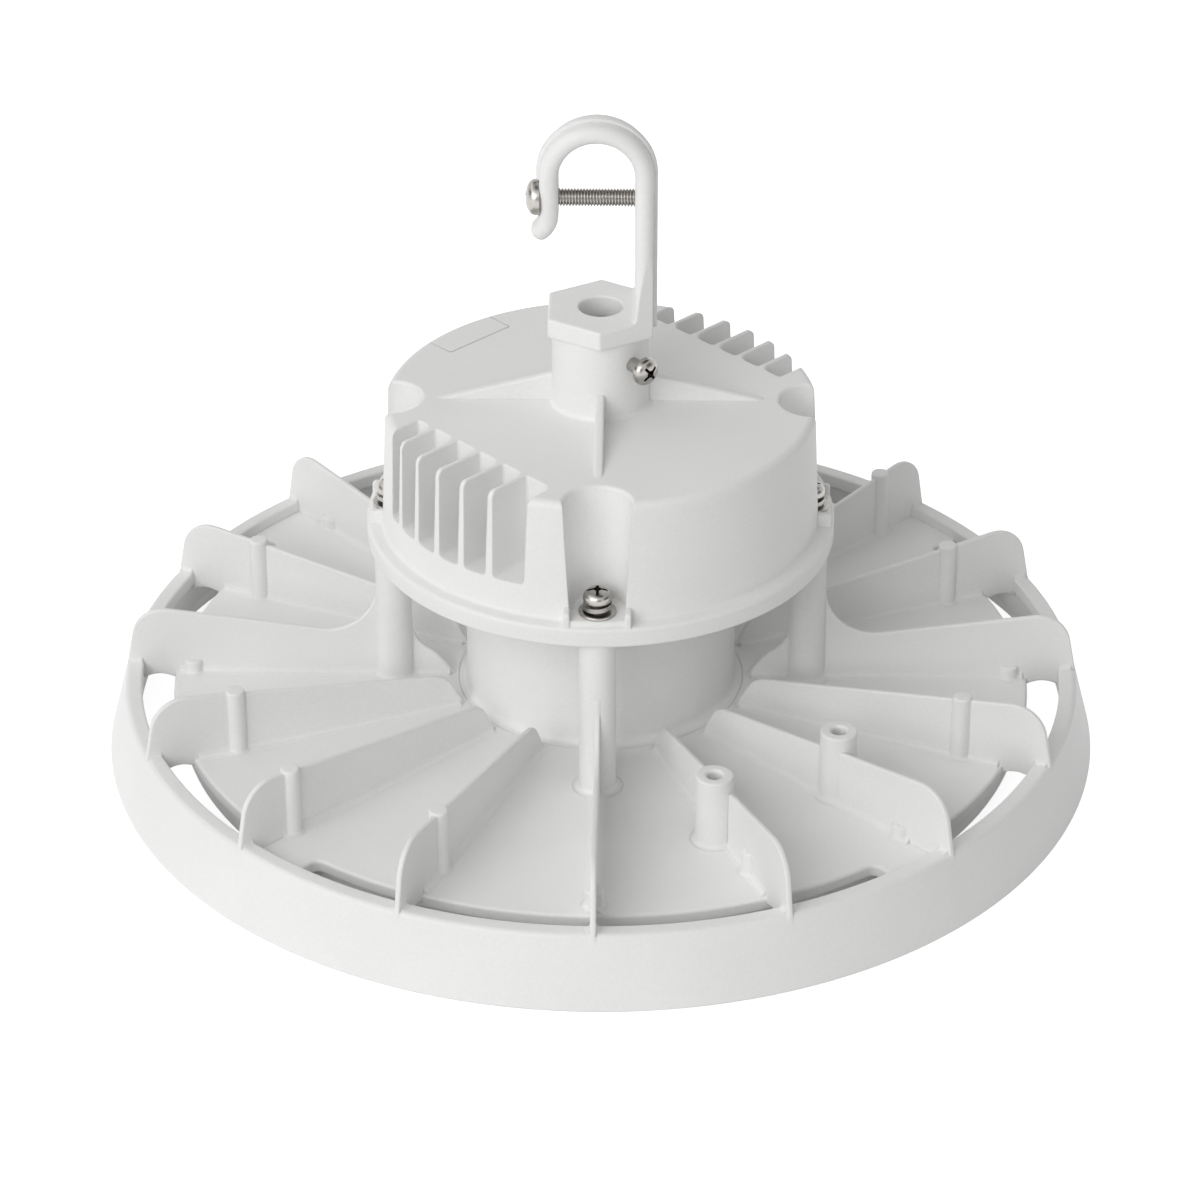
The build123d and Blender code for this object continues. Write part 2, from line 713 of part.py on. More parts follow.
# Four clamp screws hold the housing on the pillars, each with two washers
washer_z = pad_z + flat_washer_thick + spring_washer_free
clamp_names = ("right", "back", "left", "front")
for name, seat in zip(clamp_names, ring_spots(pillar_ring_r, pillar_count, 0, washer_z)):
    clamp_screw = pan_head_screw(
        seat, (0, 0, 1), clamp_head_r, clamp_head_height, clamp_r,
        washer_z - deck_z + clamp_bite,
    )
    clamp_screw.label = f"clamp_screw_{name}"
    export_step(clamp_screw, f"parts/clamp_screw_{name}.step")

with BuildPart() as flat_washers:
    with BuildSketch(Plane.XY.offset(pad_z)):
        with PolarLocations(pillar_ring_r, pillar_count):
            Circle(flat_washer_r)
            Circle(washer_bore_r, mode=Mode.SUBTRACT)
    extrude(amount=flat_washer_thick)

flat_washers.part.label = "flat_washers"
export_step(flat_washers.part, "parts/flat_washers.step")

# Open spring washers, whose two ends meet the flat washer and the screw's head
coil_r = (spring_washer_r + washer_bore_r) / 2
coil_rise = spring_washer_free - spring_washer_thick - joint_gap
coil_low = pad_z + flat_washer_thick + (spring_washer_thick + joint_gap) / 2
with BuildPart() as spring_coil:
    with BuildLine() as coil:
        Helix(coil_rise * 360 / spring_washer_turn, coil_rise, coil_r, center=(0, 0, coil_low))
    with BuildSketch(Plane(coil.line @ 0, x_dir=(1, 0, 0), z_dir=coil.line % 0)):
        Rectangle(spring_washer_r - washer_bore_r, spring_washer_thick)
    sweep(is_frenet=True)

with BuildPart() as spring_washers:
    with PolarLocations(pillar_ring_r, pillar_count):
        add(spring_coil.part, rotation=(0, 0, 180))

spring_washers.part.label = "spring_washers"
export_step(spring_washers.part, "parts/spring_washers.step")

# Lid that closes the housing from below, with its screws and the two flat seals
with BuildPart() as driver_lid:
    with BuildSketch(Plane.XY.offset(deck_z)):
        Circle(lid_r)
        Circle(grommet_r - grommet_lip, mode=Mode.SUBTRACT)
        with PolarLocations(lid_screw_ring_r, lid_screws, start_angle=lid_turn):
            Circle(small_screw_r + joint_gap, mode=Mode.SUBTRACT)
        with PolarLocations(driver_screw_ring_r, driver_screws, start_angle=driver_turn):
            Circle(small_screw_r + joint_gap, mode=Mode.SUBTRACT)
    extrude(amount=lid_thick)

driver_lid.part.label = "driver_lid"
export_step(driver_lid.part, "parts/driver_lid.step")

lid_screw_list = screws_from_below(
    ring_spots(lid_screw_ring_r, lid_screws, lid_turn, deck_z), small_screw_length
)
with BuildPart() as lid_screw_set:
    add(lid_screw_list)

lid_screw_set.part.label = "lid_screws"
export_step(lid_screw_set.part, "parts/lid_screws.step")

with BuildPart() as lid_seal:
    with BuildSketch(Plane.XY.offset(deck_z + lid_thick)):
        Circle(lid_seal_inner + lid_seal_width)
        Circle(lid_seal_inner, mode=Mode.SUBTRACT)
    extrude(amount=seal_thick)

lid_seal.part.label = "lid_seal"
export_step(lid_seal.part, "parts/lid_seal.step")

with BuildPart() as neck_seal:
    with BuildSketch(Plane.XY.offset(neck_top)):
        Circle(neck_seal_outer)
        Circle(neck_seal_outer - neck_seal_width, mode=Mode.SUBTRACT)
    extrude(amount=seal_thick)

neck_seal.part.label = "neck_seal"
export_step(neck_seal.part, "parts/neck_seal.step")

# Driver, a potted round module that stands on the lid
with BuildPart() as driver_module:
    with BuildSketch(Plane.XY.offset(deck_z + lid_thick)):
        Circle(driver_r)
    extrude(amount=driver_height)
    with BuildSketch(Plane.XY.offset(deck_z + lid_thick)):
        Circle(grommet_r + driver_room)
        with PolarLocations(driver_screw_ring_r, driver_screws, start_angle=driver_turn):
            Circle(small_screw_r + joint_gap)
    extrude(amount=driver_hollow, mode=Mode.SUBTRACT)
    rim = driver_module.edges().filter_by(GeomType.CIRCLE).group_by(Axis.Z)[-1]
    chamfer(rim, driver_edge)

driver_module.part.label = "driver_module"
export_step(driver_module.part, "parts/driver_module.step")

driver_screw_list = screws_from_below(
    ring_spots(driver_screw_ring_r, driver_screws, driver_turn, deck_z), small_screw_length
)
with BuildPart() as driver_screw_set:
    add(driver_screw_list)

driver_screw_set.part.label = "driver_screws"
export_step(driver_screw_set.part, "parts/driver_screws.step")


def grommet(low_z, high_z):
    """Grommet that grips a wall between two heights."""
    with BuildPart() as ring:
        with BuildSketch(Plane.XZ):
            with BuildLine():
                Polyline(
                    (lead_window_r, low_z - grommet_lip),
                    (grommet_r, low_z - grommet_lip),
                    (grommet_r, low_z),
                    (grommet_waist_r, low_z),
                    (grommet_waist_r, high_z),
                    (grommet_r, high_z),
                    (grommet_r, high_z + grommet_lip),
                    (lead_window_r, high_z + grommet_lip),
                    close=True,
                )
            make_face()
        revolve(axis=Axis.Z)
    return ring.part


# Grommets guide the two leads from the driver through the lid and the plate
lid_grommet = grommet(deck_z, deck_z + lid_thick)
lid_grommet.label = "lid_grommet"
export_step(lid_grommet, "parts/lid_grommet.step")

plate_grommet = grommet(plate_under + grommet_lip, plate_z)
plate_grommet.label = "plate_grommet"
export_step(plate_grommet, "parts/plate_grommet.step")

with BuildPart() as board_leads:
    with BuildSketch(Plane.XY.offset(board_z)):
        with GridLocations(lead_spacing, 1, 2, 1):
            Circle(lead_r)
    extrude(amount=deck_z + lid_thick + driver_hollow - board_z)

board_leads.part.label = "board_leads"
export_step(board_leads.part, "parts/board_leads.step")

# Seal below the hook's thread, where the supply cable enters the housing
with BuildPart() as cable_seal:
    with BuildSketch(Plane.XY.offset(stem_top - thread_length - cable_seal_height)):
        Circle(thread_r)
        Circle(cable_seal_bore_r, mode=Mode.SUBTRACT)
    extrude(amount=cable_seal_height)

cable_seal.part.label = "cable_seal"
export_step(cable_seal.part, "parts/cable_seal.step")

# Light source: round board with a chip over each lenslet
with BuildPart() as led_board:
    with BuildSketch(Plane.XY.offset(board_z)):
        Circle(board_r)
        with GridLocations(lead_spacing, 1, 2, 1):
            Circle(lead_r + joint_gap, mode=Mode.SUBTRACT)
    extrude(amount=board_thick)

led_board.part.label = "led_board"
export_step(led_board.part, "parts/led_board.step")

with BuildPart() as led_chips:
    with BuildSketch(Plane.XY.offset(board_z)):
        for ring_r, count in chip_rings:
            with PolarLocations(ring_r, count):
                Rectangle(chip_size, chip_size)
    extrude(amount=-chip_thick)

led_chips.part.label = "led_chips"
export_step(led_chips.part, "parts/led_chips.step")

# Lens plate with its lenslets, the seal above it and the ring that holds it
with BuildPart() as lens:
    with BuildSketch(Plane.XY.offset(lens_top - lens_thick)):
        Circle(lens_r)
    extrude(amount=lens_thick)
    with BuildSketch(Plane.XY.offset(lens_top - lens_thick)):
        for ring_r, count in chip_rings:
            with PolarLocations(ring_r, count):
                RegularPolygon(lenslet_r, lenslet_sides)
    extrude(amount=-lenslet_height, taper=lenslet_taper)

lens.part.label = "lens"
export_step(lens.part, "parts/lens.step")

with BuildPart() as lens_seal:
    with BuildSketch(Plane.XY.offset(lens_top)):
        Circle(lens_seal_outer)
        Circle(lens_seal_inner, mode=Mode.SUBTRACT)
    extrude(amount=plate_under - lens_top)

lens_seal.part.label = "lens_seal"
export_step(lens_seal.part, "parts/lens_seal.step")

with BuildPart() as lens_retainer:
    with BuildSketch(Plane.XZ):
        with BuildLine():
            Polyline(
                (retainer_inner_r, retainer_top - retainer_thick),
                (retainer_outer_r, retainer_top - retainer_thick),
                (retainer_outer_r, plate_under - joint_gap),
                (retainer_outer_r - retainer_wall, plate_under - joint_gap),
                (retainer_outer_r - retainer_wall, retainer_top),
                (retainer_inner_r, retainer_top),
                close=True,
            )
        make_face()
    revolve(axis=Axis.Z)
    with BuildSketch(Plane.XY.offset(retainer_top)):
        with PolarLocations(retainer_screw_ring_r, retainer_screws, start_angle=retainer_turn):
            Circle(small_screw_r + joint_gap)
    extrude(amount=-retainer_thick, mode=Mode.SUBTRACT)

lens_retainer.part.label = "lens_retainer"
export_step(lens_retainer.part, "parts/lens_retainer.step")

retainer_under = retainer_top - retainer_thick
retainer_screw_list = screws_from_below(
    ring_spots(retainer_screw_ring_r, retainer_screws, retainer_turn, retainer_under),
    retainer_screw_length,
)
with BuildPart() as retainer_screw_set:
    add(retainer_screw_list)

retainer_screw_set.part.label = "retainer_screws"
export_step(retainer_screw_set.part, "parts/retainer_screws.step")
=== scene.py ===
import math

import bmesh
import bpy
from mathutils import Matrix, Vector


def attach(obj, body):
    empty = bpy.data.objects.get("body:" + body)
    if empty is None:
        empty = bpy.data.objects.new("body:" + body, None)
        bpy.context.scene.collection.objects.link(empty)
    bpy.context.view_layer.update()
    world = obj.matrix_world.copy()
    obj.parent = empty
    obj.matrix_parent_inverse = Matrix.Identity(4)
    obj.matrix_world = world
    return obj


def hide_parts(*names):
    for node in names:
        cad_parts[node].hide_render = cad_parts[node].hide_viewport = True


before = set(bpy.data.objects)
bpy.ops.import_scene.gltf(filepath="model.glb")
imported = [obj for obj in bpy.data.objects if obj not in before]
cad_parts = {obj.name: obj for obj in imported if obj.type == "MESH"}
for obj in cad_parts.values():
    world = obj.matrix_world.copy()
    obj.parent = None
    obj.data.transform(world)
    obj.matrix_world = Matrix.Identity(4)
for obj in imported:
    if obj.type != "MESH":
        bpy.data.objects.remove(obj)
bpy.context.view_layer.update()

# Sizes are in millimetres and angles in degrees; only the meshes are in metres.
mm = 0.001
frontAngle = -90  # the front, seen from +X


# Colour as written in sRGB, turned into the linear one that shaders take
def linearColour(code):
    shares = [int(code[at : at + 2], 16) / 255 for at in (1, 3, 5)]
    linear = [s / 12.92 if s <= 0.04045 else ((s + 0.055) / 1.055) ** 2.4 for s in shares]
    return (*linear, 1.0)


# Adds a node with its settings and inputs; an input is named, or counted from 0
def addNode(tree, kind, inputs=None, **settings):
    node = tree.nodes.new(kind)
    for name, value in settings.items():
        setattr(node, name, value)
    for key, value in (inputs or {}).items():
        inUse = [s for s in node.inputs if s.enabled]
        socket = inUse[key] if isinstance(key, int) else next(s for s in inUse if s.name == key)
        if isinstance(value, bpy.types.NodeSocket):
            tree.links.new(value, socket)
        else:
            socket.default_value = value
    return node


def newMaterial(name):
    material = bpy.data.materials.new(name)
    material.use_nodes = True
    material.node_tree.nodes.clear()
    return material, material.node_tree


# How often a pattern repeats in a metre, from its real size
def perMetre(size):
    return 1000.0 / size


def darker(colour, share):
    return tuple(part * share for part in colour[:3]) + (1.0,)


# Powder fused on a casting: an even fine grain, a dull shine and edges softened by the coat
def powderCoat(name, finish):
    material, tree = newMaterial(name)
    objectSpace = addNode(tree, "ShaderNodeTexCoord").outputs["Object"]
    grain = addNode(
        tree,
        "ShaderNodeTexNoise",
        {"Vector": objectSpace, "Scale": perMetre(finish["grain"]), "Detail": 2.0},
    ).outputs["Fac"]
    flow = addNode(
        tree,
        "ShaderNodeTexNoise",
        {"Vector": objectSpace, "Scale": perMetre(finish["flow"]), "Detail": 3.0},
    ).outputs["Fac"]
    softEdge = addNode(tree, "ShaderNodeBevel", {"Radius": finish["softEdge"] * mm}, samples=6)
    bump = addNode(
        tree,
        "ShaderNodeBump",
        {
            "Strength": 0.5,
            "Distance": finish["grainDepth"] * mm,
            "Height": grain,
            "Normal": softEdge.outputs["Normal"],
        },
    )
    base = linearColour(finish["colour"])
    mottle = addNode(tree, "ShaderNodeMath", {0: grain, 1: flow}, operation="ADD")
    share = addNode(
        tree,
        "ShaderNodeMapRange",
        {"Value": mottle.outputs[0], "From Min": 0.6, "From Max": 1.4},
    )
    tint = addNode(
        tree,
        "ShaderNodeMix",
        {"Factor": share.outputs["Result"], "A": darker(base, finish["shaded"]), "B": base},
        data_type="RGBA",
    )
    rough = addNode(
        tree,
        "ShaderNodeMapRange",
        {"Value": grain, "To Min": finish["rough"][0], "To Max": finish["rough"][1]},
    )
    shader = addNode(
        tree,
        "ShaderNodeBsdfPrincipled",
        {
            "Base Color": tint.outputs[2],
            "Roughness": rough.outputs["Result"],
            "Specular IOR Level": 0.42,
            "Normal": bump.outputs["Normal"],
        },
    )
    addNode(tree, "ShaderNodeOutputMaterial", {"Surface": shader.outputs["BSDF"]})
    return material


# Bare metal with fine marks of the tool or the roll
def bareMetal(name, colour, marks, rough, softEdge):
    material, tree = newMaterial(name)
    objectSpace = addNode(tree, "ShaderNodeTexCoord").outputs["Object"]
    lines = addNode(
        tree,
        "ShaderNodeTexNoise",
        {"Vector": objectSpace, "Scale": perMetre(marks), "Detail": 4.0, "Roughness": 0.6},
    ).outputs["Fac"]
    rounded = addNode(tree, "ShaderNodeBevel", {"Radius": softEdge * mm}, samples=6)
    bump = addNode(
        tree,
        "ShaderNodeBump",
        {
            "Strength": 0.25,
            "Distance": 0.01 * mm,
            "Height": lines,
            "Normal": rounded.outputs["Normal"],
        },
    )
    uneven = addNode(
        tree, "ShaderNodeMapRange", {"Value": lines, "To Min": rough[0], "To Max": rough[1]}
    )
    shader = addNode(
        tree,
        "ShaderNodeBsdfPrincipled",
        {
            "Base Color": linearColour(colour),
            "Metallic": 1.0,
            "Roughness": uneven.outputs["Result"],
            "Normal": bump.outputs["Normal"],
        },
    )
    addNode(tree, "ShaderNodeOutputMaterial", {"Surface": shader.outputs["BSDF"]})
    return material


# Moulded plastic or rubber: one colour, slightly uneven, with a faint skin texture
def moulded(name, colour, roughness, skin, extra=None):
    material, tree = newMaterial(name)
    objectSpace = addNode(tree, "ShaderNodeTexCoord").outputs["Object"]
    grain = addNode(
        tree, "ShaderNodeTexNoise", {"Vector": objectSpace, "Scale": perMetre(skin), "Detail": 3.0}
    ).outputs["Fac"]
    bump = addNode(
        tree, "ShaderNodeBump", {"Strength": 0.2, "Distance": 0.02 * mm, "Height": grain}
    )
    base = linearColour(colour)
    tint = addNode(
        tree,
        "ShaderNodeMix",
        {"Factor": grain, "A": darker(base, 0.85), "B": base},
        data_type="RGBA",
    )
    inputs = {
        "Base Color": tint.outputs[2],
        "Roughness": roughness,
        "Normal": bump.outputs["Normal"],
    }
    inputs.update(extra or {})
    shader = addNode(tree, "ShaderNodeBsdfPrincipled", inputs)
    addNode(tree, "ShaderNodeOutputMaterial", {"Surface": shader.outputs["BSDF"]})
    return material


coat = {
    "colour": "#F1F1F0",
    "grain": 0.9,  # fused powder is finer, about 0.3, but wouldn't show at this distance
    "grainDepth": 0.03,
    "flow": 45,  # slow waves in the coat's tone
    "softEdge": 0.9,
    "shaded": 0.93,
    "rough": (0.40, 0.54),
}
# White satin powder coat on die-cast aluminium: a matt white with a broad, dull shine
whiteCoat = powderCoat("white powder coat", coat)
# Tumbled stainless steel: grey metal whose shine is only a little broken
stainless = bareMetal("stainless steel", "#B3B0AC", marks=0.25, rough=(0.24, 0.34), softEdge=0.12)
# The punched cross in a head: the same steel with its colour painted dark, as painted shade in the
# deep recess
paintedShadeSteel = bareMetal("steel with painted recess shade", "#2A2927", marks=0.3, rough=(0.35, 0.5), softEdge=0.05)
# Oil-hardened spring steel: a little duller than the screws
springSteel = bareMetal("spring steel", "#A5A3A0", marks=0.2, rough=(0.22, 0.36), softEdge=0.1)
# Rolled aluminium sheet: pale metal with a dull surface
rolledSheet = bareMetal("rolled aluminium", "#C9CACC", marks=0.6, rough=(0.34, 0.5), softEdge=0.2)
# Moulded silicone seals: grey, rubbery and matt
silicone = moulded("grey silicone", "#8C8C8A", roughness=0.62, skin=0.6)
# The driver's moulded case: black, matt and slightly rough
driverCase = moulded("black driver case", "#1D1D1F", roughness=0.5, skin=0.8)
# Drawn lead insulation: red, smooth plastic
leadSleeve = moulded("red lead insulation", "#A3221B", roughness=0.38, skin=1.2)
# Printed solder mask on the board: white and slightly glossy
boardMask = moulded("white solder mask", "#E6E6E1", roughness=0.36, skin=0.5)
# Phosphor set over the chips: yellow and matt
phosphor = moulded("yellow phosphor", "#D9B63A", roughness=0.55, skin=0.3)
# Moulded clear polycarbonate: light passes through it, and its surface is glossy
clearLens = moulded(
    "clear polycarbonate",
    "#EFF2F2",
    roughness=0.12,
    skin=20,
    extra={"Transmission Weight": 0.9, "IOR": 1.58},
)
print("finishes mixed")


squareCorners = ((-1, -1), (1, -1), (1, 1), (-1, 1))


# A point in the plane from its distance and its direction
def polar(radius, angle):
    turn = math.radians(angle)
    return radius * math.cos(turn), radius * math.sin(turn)


def between(low, high, share):
    return low + (high - low) * share


# Even shares from 0 to 1
def shares(count):
    return [at / count for at in range(count + 1)]


# Steps along a quarter round of radius 1: the way still to go, and the way gone across it
def quarterRound(count):
    turns = [math.pi / 2 * at / count for at in range(count + 1)]
    return [(1 - math.sin(turn), 1 - math.cos(turn)) for turn in turns]


# Points of the round that takes the place of a corner
def arcPoints(corner, before, after, radius, step):
    corner, before, after = Vector(corner), Vector(before), Vector(after)
    toBefore = (before - corner).normalized()
    toAfter = (after - corner).normalized()
    turn = math.pi - toBefore.angle(toAfter)
    if radius <= 0 or turn < 1e-4:
        return [tuple(corner)]
    reach = radius * math.tan(turn / 2)
    middle = corner + (toBefore + toAfter).normalized() * (radius / math.cos(turn / 2))
    start = corner + toBefore * reach - middle
    side = 1.0 if toBefore.cross(toAfter) < 0 else -1.0
    count = max(2, math.ceil(math.degrees(turn) / step))
    points = []
    for at in range(count + 1):
        angle = side * turn * at / count
        c, s = math.cos(angle), math.sin(angle)
        points.append((middle.x + c * start.x - s * start.y, middle.y + s * start.x + c * start.y))
    return points


# Closed outline from corners, each (x, y) or (x, y, radius of its round)
def roundedOutline(corners, step=11.0):
    flat = [(c[0], c[1]) for c in corners]
    outline = []
    for at, corner in enumerate(corners):
        radius = corner[2] if len(corner) > 2 else 0
        outline += arcPoints(flat[at], flat[at - 1], flat[(at + 1) % len(flat)], radius, step)
    return outline


# The same outline, run anticlockwise
def turnedLeft(outline):
    area = 0.0
    for at, (x, y) in enumerate(outline):
        nextX, nextY = outline[(at + 1) % len(outline)]
        area += x * nextY - nextX * y
    return outline if area > 0 else outline[::-1]


# An anticlockwise outline, moved inwards by a small depth
def insetOutline(outline, depth):
    inner = []
    count = len(outline)
    for at in range(count):
        here = Vector(outline[at])
        back = (here - Vector(outline[at - 1])).normalized()
        ahead = (Vector(outline[(at + 1) % count]) - here).normalized()
        normalBack = Vector((-back.y, back.x))
        normalAhead = Vector((-ahead.y, ahead.x))
        middle = normalBack + normalAhead
        middle = middle.normalized() if middle.length > 1e-6 else normalBack
        lean = max(0.5, middle.dot(normalAhead))
        inner.append(tuple(here + middle * (depth / lean)))
    return inner


# A closed (radius, height) outline turned round the main axis
def lathe(profile, steps=128):
    points, faces, rings = [], [], []
    for r, z in turnedLeft(profile):
        if r < 1e-6:
            rings.append([len(points)] * steps)
            points.append((0.0, 0.0, z))
            continue
        ring = []
        for at in range(steps):
            angle = 2 * math.pi * at / steps
            ring.append(len(points))
            points.append((r * math.cos(angle), r * math.sin(angle), z))
        rings.append(ring)
    for at, low in enumerate(rings):
        high = rings[(at + 1) % len(rings)]
        if low[0] == low[1] and high[0] == high[1]:
            continue
        for k in range(steps):
            following = (k + 1) % steps
            face = [low[k], low[following], high[following], high[k]]
            faces.append([v for i, v in enumerate(face) if v != face[i - 1]])
    return points, faces


# The same from corners, each with the radius of its round
def latheRounded(corners, step, steps):
    return lathe(roundedOutline(corners, step), steps)


# Foot of a round post: it starts inside what it stands on and leaves it in a hollow round
def flaredFoot(innerR, postR, low, level, flare):
    step, hollow = flare
    return [(innerR, low), (postR + step, low), (postR + step, level), (postR, level, hollow)]


# Outline of a plain round rod
def rod(radius, low, high):
    return [(0, low), (radius, low), (radius, high), (0, high)]


# Skin through loops of points that all have the same count, closed at both ends
def skinned(loops):
    count = len(loops[0])
    points = [point for loop in loops for point in loop]
    faces = []
    for level in range(len(loops) - 1):
        start = level * count
        for at in range(count):
            following = (at + 1) % count
            faces.append(
                [start + at, start + following, start + count + following, start + count + at]
            )
    last = (len(loops) - 1) * count
    faces += [list(range(count))[::-1], [last + at for at in range(count)]]
    return points, faces


# An outline pulled up from low to high, with its two edges rounded
def plate(outline, low, high, edgeLow=0.0, edgeHigh=0.0, steps=3):
    outline = turnedLeft(outline)
    edge = quarterRound(steps)
    levels = [(low + edgeLow * up, edgeLow * inset) for up, inset in edge[::-1]]
    levels += [(high - edgeHigh * down, edgeHigh * inset) for down, inset in edge]
    if edgeLow <= 0:
        levels = [(low, 0.0)] + levels[steps + 1 :]
    if edgeHigh <= 0:
        levels = levels[: -steps - 1] + [(high, 0.0)]
    loops = []
    for z, inset in levels:
        loop = insetOutline(outline, inset) if inset > 1e-9 else outline
        loops.append([(x, y, z) for x, y in loop])
    return skinned(loops)


def moved(shell, matrix):
    points, faces = shell
    return [tuple(matrix @ Vector(p)) for p in points], faces


def turned(shell, angle):
    return moved(shell, Matrix.Rotation(math.radians(angle), 4, "Z"))


def shifted(shell, x=0.0, y=0.0, z=0.0):
    return moved(shell, Matrix.Translation((x, y, z)))


# Stands a plate that was drawn as (radius, height) on its radius
def upright(shell, angle=0.0):
    stand = Matrix(((1, 0, 0, 0), (0, 0, -1, 0), (0, 1, 0, 0), (0, 0, 0, 1)))
    return turned(moved(shell, stand), angle)


def joined(shells):
    points, faces = [], []
    for shellPoints, shellFaces in shells:
        start = len(points)
        points += shellPoints
        faces += [[v + start for v in face] for face in shellFaces]
    return points, faces


# Smooth faces, with a crease wherever they meet at more than the given angle
def smoothMesh(mesh, sharp=32.0):
    mesh.polygons.foreach_set("use_smooth", [True] * len(mesh.polygons))
    mesh.set_sharp_from_angle(angle=math.radians(sharp))
    mesh.update()


# A new object in the scene, with its mesh, lamp or camera
def placed(name, data):
    made = bpy.data.objects.new(name, data)
    bpy.context.scene.collection.objects.link(made)
    return made


def meshObject(name, shell, material, sharp=32.0):
    points, faces = shell
    mesh = bpy.data.meshes.new(name)
    mesh.from_pydata([(x * mm, y * mm, z * mm) for x, y, z in points], [], faces)
    mesh.materials.append(material)
    shaped = bmesh.new()
    shaped.from_mesh(mesh)
    bmesh.ops.remove_doubles(shaped, verts=shaped.verts, dist=1e-7)
    bmesh.ops.recalc_face_normals(shaped, faces=shaped.faces)
    shaped.to_mesh(mesh)
    shaped.free()
    smoothMesh(mesh, sharp)
    return placed(name, mesh)


# Keeps what the modifiers give as the object's own plain mesh
def settled(made):
    bpy.context.view_layer.update()
    shown = made.evaluated_get(bpy.context.evaluated_depsgraph_get())
    mesh = bpy.data.meshes.new_from_object(shown)
    mesh.name = made.name
    made.modifiers.clear()
    made.data = mesh
    return made


# Shades large flat faces evenly up to their small rounds
def evened(made, sharp):
    smoothMesh(made.data, sharp)
    weights = made.modifiers.new("even shading", "WEIGHTED_NORMAL")
    weights.keep_sharp = True
    return settled(made)


# Adds closed shells to a piece, cuts them out of it or keeps what they share, in order
def worked(made, steps):
    operations = {"add": "UNION", "cut": "DIFFERENCE", "keep": "INTERSECT"}
    for action, shell in steps:
        tool = meshObject("tool", shell, made.data.materials[0])
        change = made.modifiers.new("change", "BOOLEAN")
        change.operation = operations[action]
        change.solver = "MANIFOLD"
        change.object = tool
        settled(made)
        bpy.data.objects.remove(tool)
    return made


def handOver(piece, nodes):
    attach(piece, "root")
    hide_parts(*nodes)


# Ends a tree of geometry nodes with real meshes that have their material
def endTree(tree, given, geometry):
    real = addNode(tree, "GeometryNodeRealizeInstances", {"Geometry": geometry})
    painted = addNode(
        tree,
        "GeometryNodeSetMaterial",
        {"Geometry": real.outputs["Geometry"], "Material": given.outputs["Material"]},
    )
    tree.interface.new_socket(name="Geometry", in_out="OUTPUT", socket_type="NodeSocketGeometry")
    addNode(tree, "NodeGroupOutput", {0: painted.outputs["Geometry"]})
    return tree


def startTree(name, sockets):
    tree = bpy.data.node_groups.new(name, "GeometryNodeTree")
    for socketName, kind in sockets:
        tree.interface.new_socket(name=socketName, in_out="INPUT", socket_type=kind)
    return tree, tree.nodes.new("NodeGroupInput")


# Copies of the piece's own mesh, a step apart round the main axis
def copiesTree():
    tree, given = startTree(
        "copies round the axis",
        (
            ("Geometry", "NodeSocketGeometry"),
            ("Count", "NodeSocketInt"),
            ("First angle", "NodeSocketFloat"),
            ("Step", "NodeSocketFloat"),
            ("Material", "NodeSocketMaterial"),
        ),
    )
    places = addNode(
        tree, "GeometryNodeMeshLine", {"Count": given.outputs["Count"], "Offset": (0, 0, 0)}
    )
    number = addNode(tree, "GeometryNodeInputIndex").outputs["Index"]
    angle = addNode(
        tree,
        "ShaderNodeMath",
        {0: number, 1: given.outputs["Step"], 2: given.outputs["First angle"]},
        operation="MULTIPLY_ADD",
    )
    spin = addNode(tree, "ShaderNodeCombineXYZ", {"Z": angle.outputs[0]})
    copies = addNode(
        tree,
        "GeometryNodeInstanceOnPoints",
        {
            "Points": places.outputs["Mesh"],
            "Instance": given.outputs["Geometry"],
            "Rotation": spin.outputs["Vector"],
        },
    )
    return endTree(tree, given, copies.outputs["Instances"])


# A bar of four-sided section wound round the Z axis: a thread's ridge or a spring washer
def coilTree():
    tree, given = startTree(
        "wound bar",
        (
            ("Middle radius", "NodeSocketFloat"),
            ("Turns", "NodeSocketFloat"),
            ("Rise", "NodeSocketFloat"),
            ("Inner width", "NodeSocketFloat"),
            ("Outer width", "NodeSocketFloat"),
            ("Depth", "NodeSocketFloat"),
            ("Material", "NodeSocketMaterial"),
        ),
    )
    path = addNode(
        tree,
        "GeometryNodeCurveSpiral",
        {
            "Resolution": 40,
            "Rotations": given.outputs["Turns"],
            "Start Radius": given.outputs["Middle radius"],
            "End Radius": given.outputs["Middle radius"],
            "Height": given.outputs["Rise"],
            "Reverse": True,
        },
    )
    level = addNode(
        tree, "GeometryNodeSetCurveNormal", {"Curve": path.outputs["Curve"]}, mode="Z_UP"
    )
    section = addNode(
        tree,
        "GeometryNodeCurvePrimitiveQuadrilateral",
        {
            "Bottom Width": given.outputs["Inner width"],
            "Top Width": given.outputs["Outer width"],
            "Offset": 0.0,
            "Height": given.outputs["Depth"],
        },
        mode="TRAPEZOID",
    )
    outwards = addNode(
        tree,
        "GeometryNodeTransform",
        {"Geometry": section.outputs["Curve"], "Rotation": (0, 0, -math.pi / 2)},
    )
    swept = addNode(
        tree,
        "GeometryNodeCurveToMesh",
        {
            "Curve": level.outputs["Curve"],
            "Profile Curve": outwards.outputs["Geometry"],
            "Fill Caps": True,
        },
    )
    return endTree(tree, given, swept.outputs["Mesh"])


roundTheAxis = copiesTree()
woundBar = coilTree()


# Runs a tree on a piece and keeps the result as the piece's mesh
def grown(made, tree, values, sharp=32.0):
    grower = made.modifiers.new("repeats", "NODES")
    grower.node_group = tree
    for item in tree.interface.items_tree:
        if item.in_out == "INPUT" and item.name in values:
            grower[item.identifier] = values[item.name]
    settled(made)
    smoothMesh(made.data, sharp)
    return made


